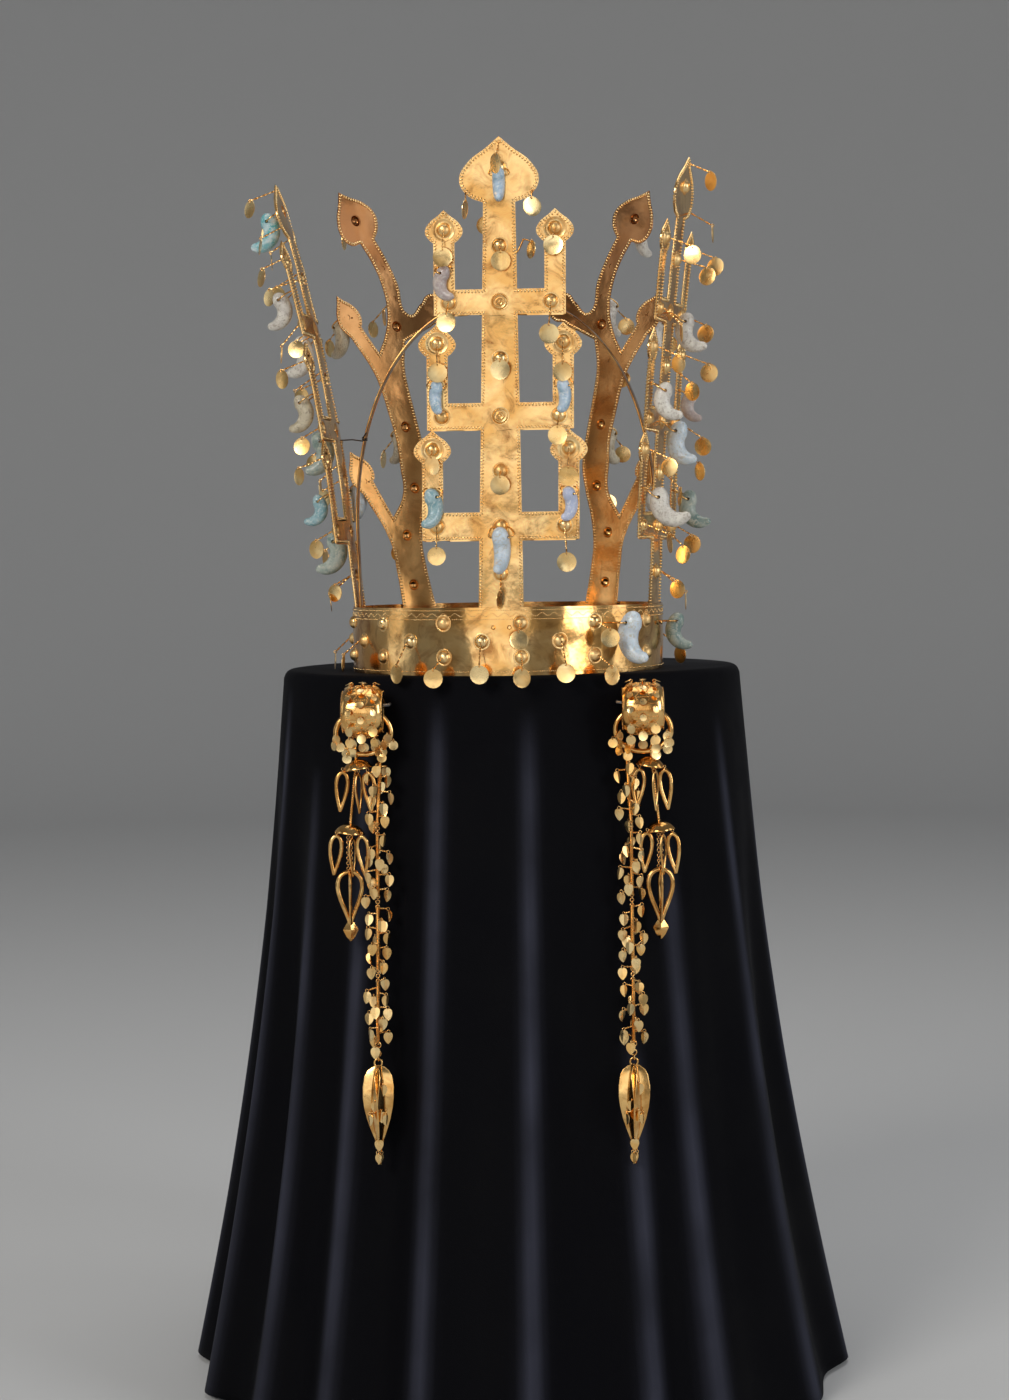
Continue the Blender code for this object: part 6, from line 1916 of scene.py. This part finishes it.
for word, side in SIDES.items():
    start = slim_ring_under(slim_at[word], slim_at[word].x + side * SHORT_STRAND_OUT)
    loop_centre = start + DOWN * LOOP_SAG
    out = abs(start.x)
    drop = STAND_HEIGHT - loop_centre.z + STRAND_LOOP_RADIUS
    spots = []
    for further, down in (
        (0.001, -0.0006), (0.002, CANOPY_HEIGHT), (0.004, CANOPY_HEIGHT + UPPER_CHAIN),
        (0.0045, 2 * CANOPY_HEIGHT + UPPER_CHAIN), (0.0045, 2 * CANOPY_HEIGHT + UPPER_CHAIN + LOWER_CHAIN),
    ):
        landed = down / UPPER_CHAIN
        spots.append(strand_point(loop_centre, side, out + further, drop + down, STRAND_OFF, landed))
    upper, hub, second, low, end = spots
    turn_loop = Matrix.Rotation(math.pi / 2, 4, "Y")
    loop = wire_ring("strand_loop", STRAND_LOOP_RADIUS, STRAND_LOOP_WIRE, 20, 8, pendant_gold)
    loop.matrix_world = Matrix.Translation(loop_centre) @ turn_loop
    parts = [loop]
    for top, lean in ((upper, 9 * side), (second, -6 * side)):
        parts.append(copy_at(cap, Matrix.Translation(top) @ Matrix.Rotation(math.radians(lean), 4, "Y")))
        parts.append(copy_at(wire_loop, Matrix.Translation(top) @ turn_loop @ Matrix.Scale(1.3, 4)))
    parts += plaited(hub + UP * 0.002, second - UP * 0.0005)
    for shift in (-0.0009, 0.0009):
        parts += linked(low + UP * 0.001 + RIGHT * shift, end + UP * 0.0005 + RIGHT * shift, 0.0015, 0.95)
    for under in (hub, low):
        for share, lower, swing in ((-0.82, 0.0, 8), (0.20, 0.0012, 62), (0.80, 0.0006, -14)):
            eye = under + Vector((share * CANOPY_RADIUS, -0.0030, 0.0012 - lower))
            parts += linked(eye, eye + DOWN * 0.0015, 0.0015, 0.9)
            parts.append(hung_plumb(flat_drop, eye + DOWN * 0.0020, swing, -3 * share * 2))
    for swing in (6, 96):
        parts.append(hung_plumb(cage_wing, end, swing))
    parts.append(hung_plumb(spade, end + DOWN * (CAGE_LENGTH * 0.70), 6))
    strand = joined(parts, f"cap_strand_{word}")
    replace_solid(strand, f"short_strand_{word}")


# Long strands: four gold stems wound with wire and linked end to end, each set with heart-shaped leaves that
# hang from stiff wires on all sides.

LONG_STRAND_OUT = 0.0095
LONG_STRAND_OFF = 0.0170
STEM_RADIUS = 0.0013
STEM_LENGTH = 0.0365
STEM_LINK = 0.005
STEM_COUNT = 4
STEM_LEAVES = 13
WINDING_PITCH = 0.0008


def heart_master():
    """A leaf like a heart, creased down its middle, with its eye where a disc has its own."""
    bpy.ops.mesh.primitive_circle_add(vertices=18, radius=1, fill_type="NGON")
    made = bpy.context.object
    for vertex in made.data.vertices:
        turn = math.atan2(vertex.co.x, vertex.co.y)
        half = abs(math.sin(turn)) * math.sin((math.pi - abs(turn)) / 2) ** 0.55
        notch = 0.0006 * math.exp(-(turn / 0.35) ** 2)
        vertex.co = (math.copysign(half, turn) * 0.0031, 0.0012 + 0.0036 * math.cos(turn) - notch, 0)
    with editing(made):
        bpy.ops.mesh.bisect(plane_co=(0, 0, 0), plane_no=(1, 0, 0))
    for vertex in made.data.vertices:
        vertex.co.z = -0.30 * abs(vertex.co.x)
    use_modifier(made, "SOLIDIFY", thickness=0.0003, offset=0)
    made.data.materials.append(disc_gold)
    return made


heart = heart_master()
winding = [(0.0, 0.0), (0.6 * STEM_RADIUS, 0.0)]
for i in range(int(STEM_LENGTH / WINDING_PITCH)):
    winding += [(0.78 * STEM_RADIUS, -WINDING_PITCH * (i + 0.12)), (STEM_RADIUS, -WINDING_PITCH * (i + 0.5))]
winding += [(0.6 * STEM_RADIUS, -STEM_LENGTH), (0.0, -STEM_LENGTH)]
wound_stem = turned("wound_stem", winding, 9, pendant_gold)
hooks = {}
for word, side in SIDES.items():
    start = slim_ring_under(slim_at[word], slim_at[word].x - side * LONG_STRAND_OUT)
    loop_centre = start + DOWN * LOOP_SAG
    out = abs(start.x) + 0.002
    drop = STAND_HEIGHT - loop_centre.z + STRAND_LOOP_RADIUS
    loop_size = STRAND_LOOP_RADIUS / LOOP_RADIUS * 0.95
    parts = linked(loop_centre + DOWN * 0.0004, loop_centre + DOWN * 0.0006, 0.01, loop_size)
    down = 0.002
    for count in range(STEM_COUNT):
        top, foot = [
            strand_point(loop_centre, side, out, drop + end, LONG_STRAND_OFF, end / STEM_LENGTH)
            for end in (down, down + STEM_LENGTH)
        ]
        along = (foot - top).normalized()
        lie = along.to_track_quat("-Z", "Y").to_matrix().to_4x4()
        parts.append(copy_at(wound_stem, Matrix.Translation(top) @ lie))
        for i in range(STEM_LEAVES):
            level = outward(137.5 * i + 50 * count + random.uniform(-15, 15))
            reach = random.uniform(0.0042, 0.0062)
            spot = top.lerp(foot, (i + 0.4) / STEM_LEAVES)
            eye = spot + level * reach + DOWN * random.uniform(-0.0012, 0.0012)
            turn = random.uniform(-55, 55)
            root = spot + level * STEM_RADIUS * 0.6
            parts += hang_spangle(root, eye, turn, random.uniform(-12, 12), 1.0, heart)
        next_top = strand_point(
            loop_centre, side, out, drop + down + STEM_LENGTH + STEM_LINK, LONG_STRAND_OFF, 1,
        )
        if count < STEM_COUNT - 1:
            parts += linked(foot - DOWN * 0.0004, next_top + DOWN * 0.0004, 0.0015, 1.25)
        down += STEM_LENGTH + STEM_LINK
    last = strand_point(loop_centre, side, out, drop + down, LONG_STRAND_OFF, 1)
    eye_centre = last + DOWN * (0.0022 - STRAND_LOOP_WIRE / 2)
    parts += linked(foot - DOWN * 0.0004, eye_centre, 0.0022, 1.9)
    hooks[word] = eye_centre + DOWN * 0.0022
    strand = joined(parts, f"leafy_strand_{word}")
    replace_solid(strand, f"long_strand_{word}")


# Leaf drops: three long leaves of gold sheet under one small ring, with small hearts wired to their faces
# and tips.

LEAF_LENGTH = 0.047
LEAF_WIDTH = 0.0145
LEAF_RING_RADIUS = 0.0022
LEAF_RING_WIRE = 0.0006
LEAF_BLADES = ((0, 0.0), (1, 60.0), (-1, -60.0))
# The leaf's outline: share of its length, and share of its width.
LEAF_OUTLINE = (
    (0.00, 0.05), (0.02, 0.42), (0.06, 0.70), (0.12, 0.88), (0.25, 1.00), (0.38, 0.99), (0.50, 0.91),
    (0.64, 0.74), (0.76, 0.54), (0.88, 0.31), (0.96, 0.14), (1.00, 0.03),
)
LEAF_HEARTS = ((0.20, 0.18), (0.40, -0.10), (0.52, 0.14), (0.88, 0.0))


def leaf_width(down):
    for (low, start), (high, end) in zip(LEAF_OUTLINE, LEAF_OUTLINE[1:]):
        if down <= high:
            return start + (end - start) * (down - low) / (high - low)
    return LEAF_OUTLINE[-1][1]


def leaf_point(down, across, side=0):
    """A point on a leaf that faces -Y and hangs from the origin."""
    bow = 0.0035 * math.sin(math.pi * min(down * 1.1, 1)) + 0.0012 * (side != 0)
    crown = 0.0008 * math.cos(math.pi * across) * leaf_width(down)
    return Vector((across * LEAF_WIDTH * leaf_width(down) * 1.18, -bow - crown, -down * LEAF_LENGTH))


def long_leaf(side):
    bpy.ops.mesh.primitive_grid_add(x_subdivisions=8, y_subdivisions=28, size=1)
    made = bpy.context.object
    for vertex in made.data.vertices:
        vertex.co = leaf_point(0.5 - vertex.co.y, vertex.co.x, side)
    use_modifier(made, "SOLIDIFY", thickness=0.0006, offset=0)
    bpy.ops.object.shade_smooth_by_angle(angle=math.radians(40))
    made.data.materials.append(pendant_gold)
    rim = [leaf_point(down, 0.5, side) for down, _ in LEAF_OUTLINE]
    rim += [leaf_point(down, -0.5, side) for down, _ in reversed(LEAF_OUTLINE)]
    return [made, wire_along("leaf_rim", rim, 0.00038, pendant_gold, closed=True, smooth=False)]


for word, side in SIDES.items():
    centre = hooks[word] + DOWN * (LEAF_RING_RADIUS - 2 * LEAF_RING_WIRE - 1.6 * PIECE_GAP)
    top = centre + DOWN * (LEAF_RING_RADIUS - LEAF_RING_WIRE)
    ring = wire_ring("leaf_ring", LEAF_RING_RADIUS, LEAF_RING_WIRE, 16, 6, pendant_gold)
    ring.location = centre
    ring.rotation_euler = (math.pi / 2, 0, 0)
    parts = [ring]
    for blade, turn in LEAF_BLADES:
        swing = Matrix.Translation(top) @ Matrix.Rotation(math.radians(turn), 4, "Z")
        leaf_parts = long_leaf(blade)
        for part in leaf_parts:
            part.matrix_world = swing
        parts += leaf_parts
        hearts = LEAF_HEARTS if blade == 0 else ((0.55, -0.3 * blade),)
        for down, across in hearts:
            foot = swing @ leaf_point(down, across, blade)
            level = swing.to_3x3() @ Vector((0, -1, 0))
            spin = turn + random.uniform(-20, 20)
            parts += hang_spangle(foot, foot + level * 0.0022, spin, 4, 0.95, heart)
        tip = swing @ leaf_point(0.985, 0, blade)
        parts += hang_spangle(tip, tip + DOWN * 0.0026, turn + 20 * blade + 25, 2, 0.95, heart)
    leaves = joined(parts, f"three_leaves_{word}")
    replace_solid(leaves, f"leaf_drop_{word}")


# Everything that was only copied from is taken out of the scene, and the scene's bounds are measured.

for master in (
    *domes.values(), dot, fine_dot, disc, stem, wire_loop, granule, cap, flat_drop, cage_wing, spade, heart,
    wound_stem,
):
    put_away(master)
low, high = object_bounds()
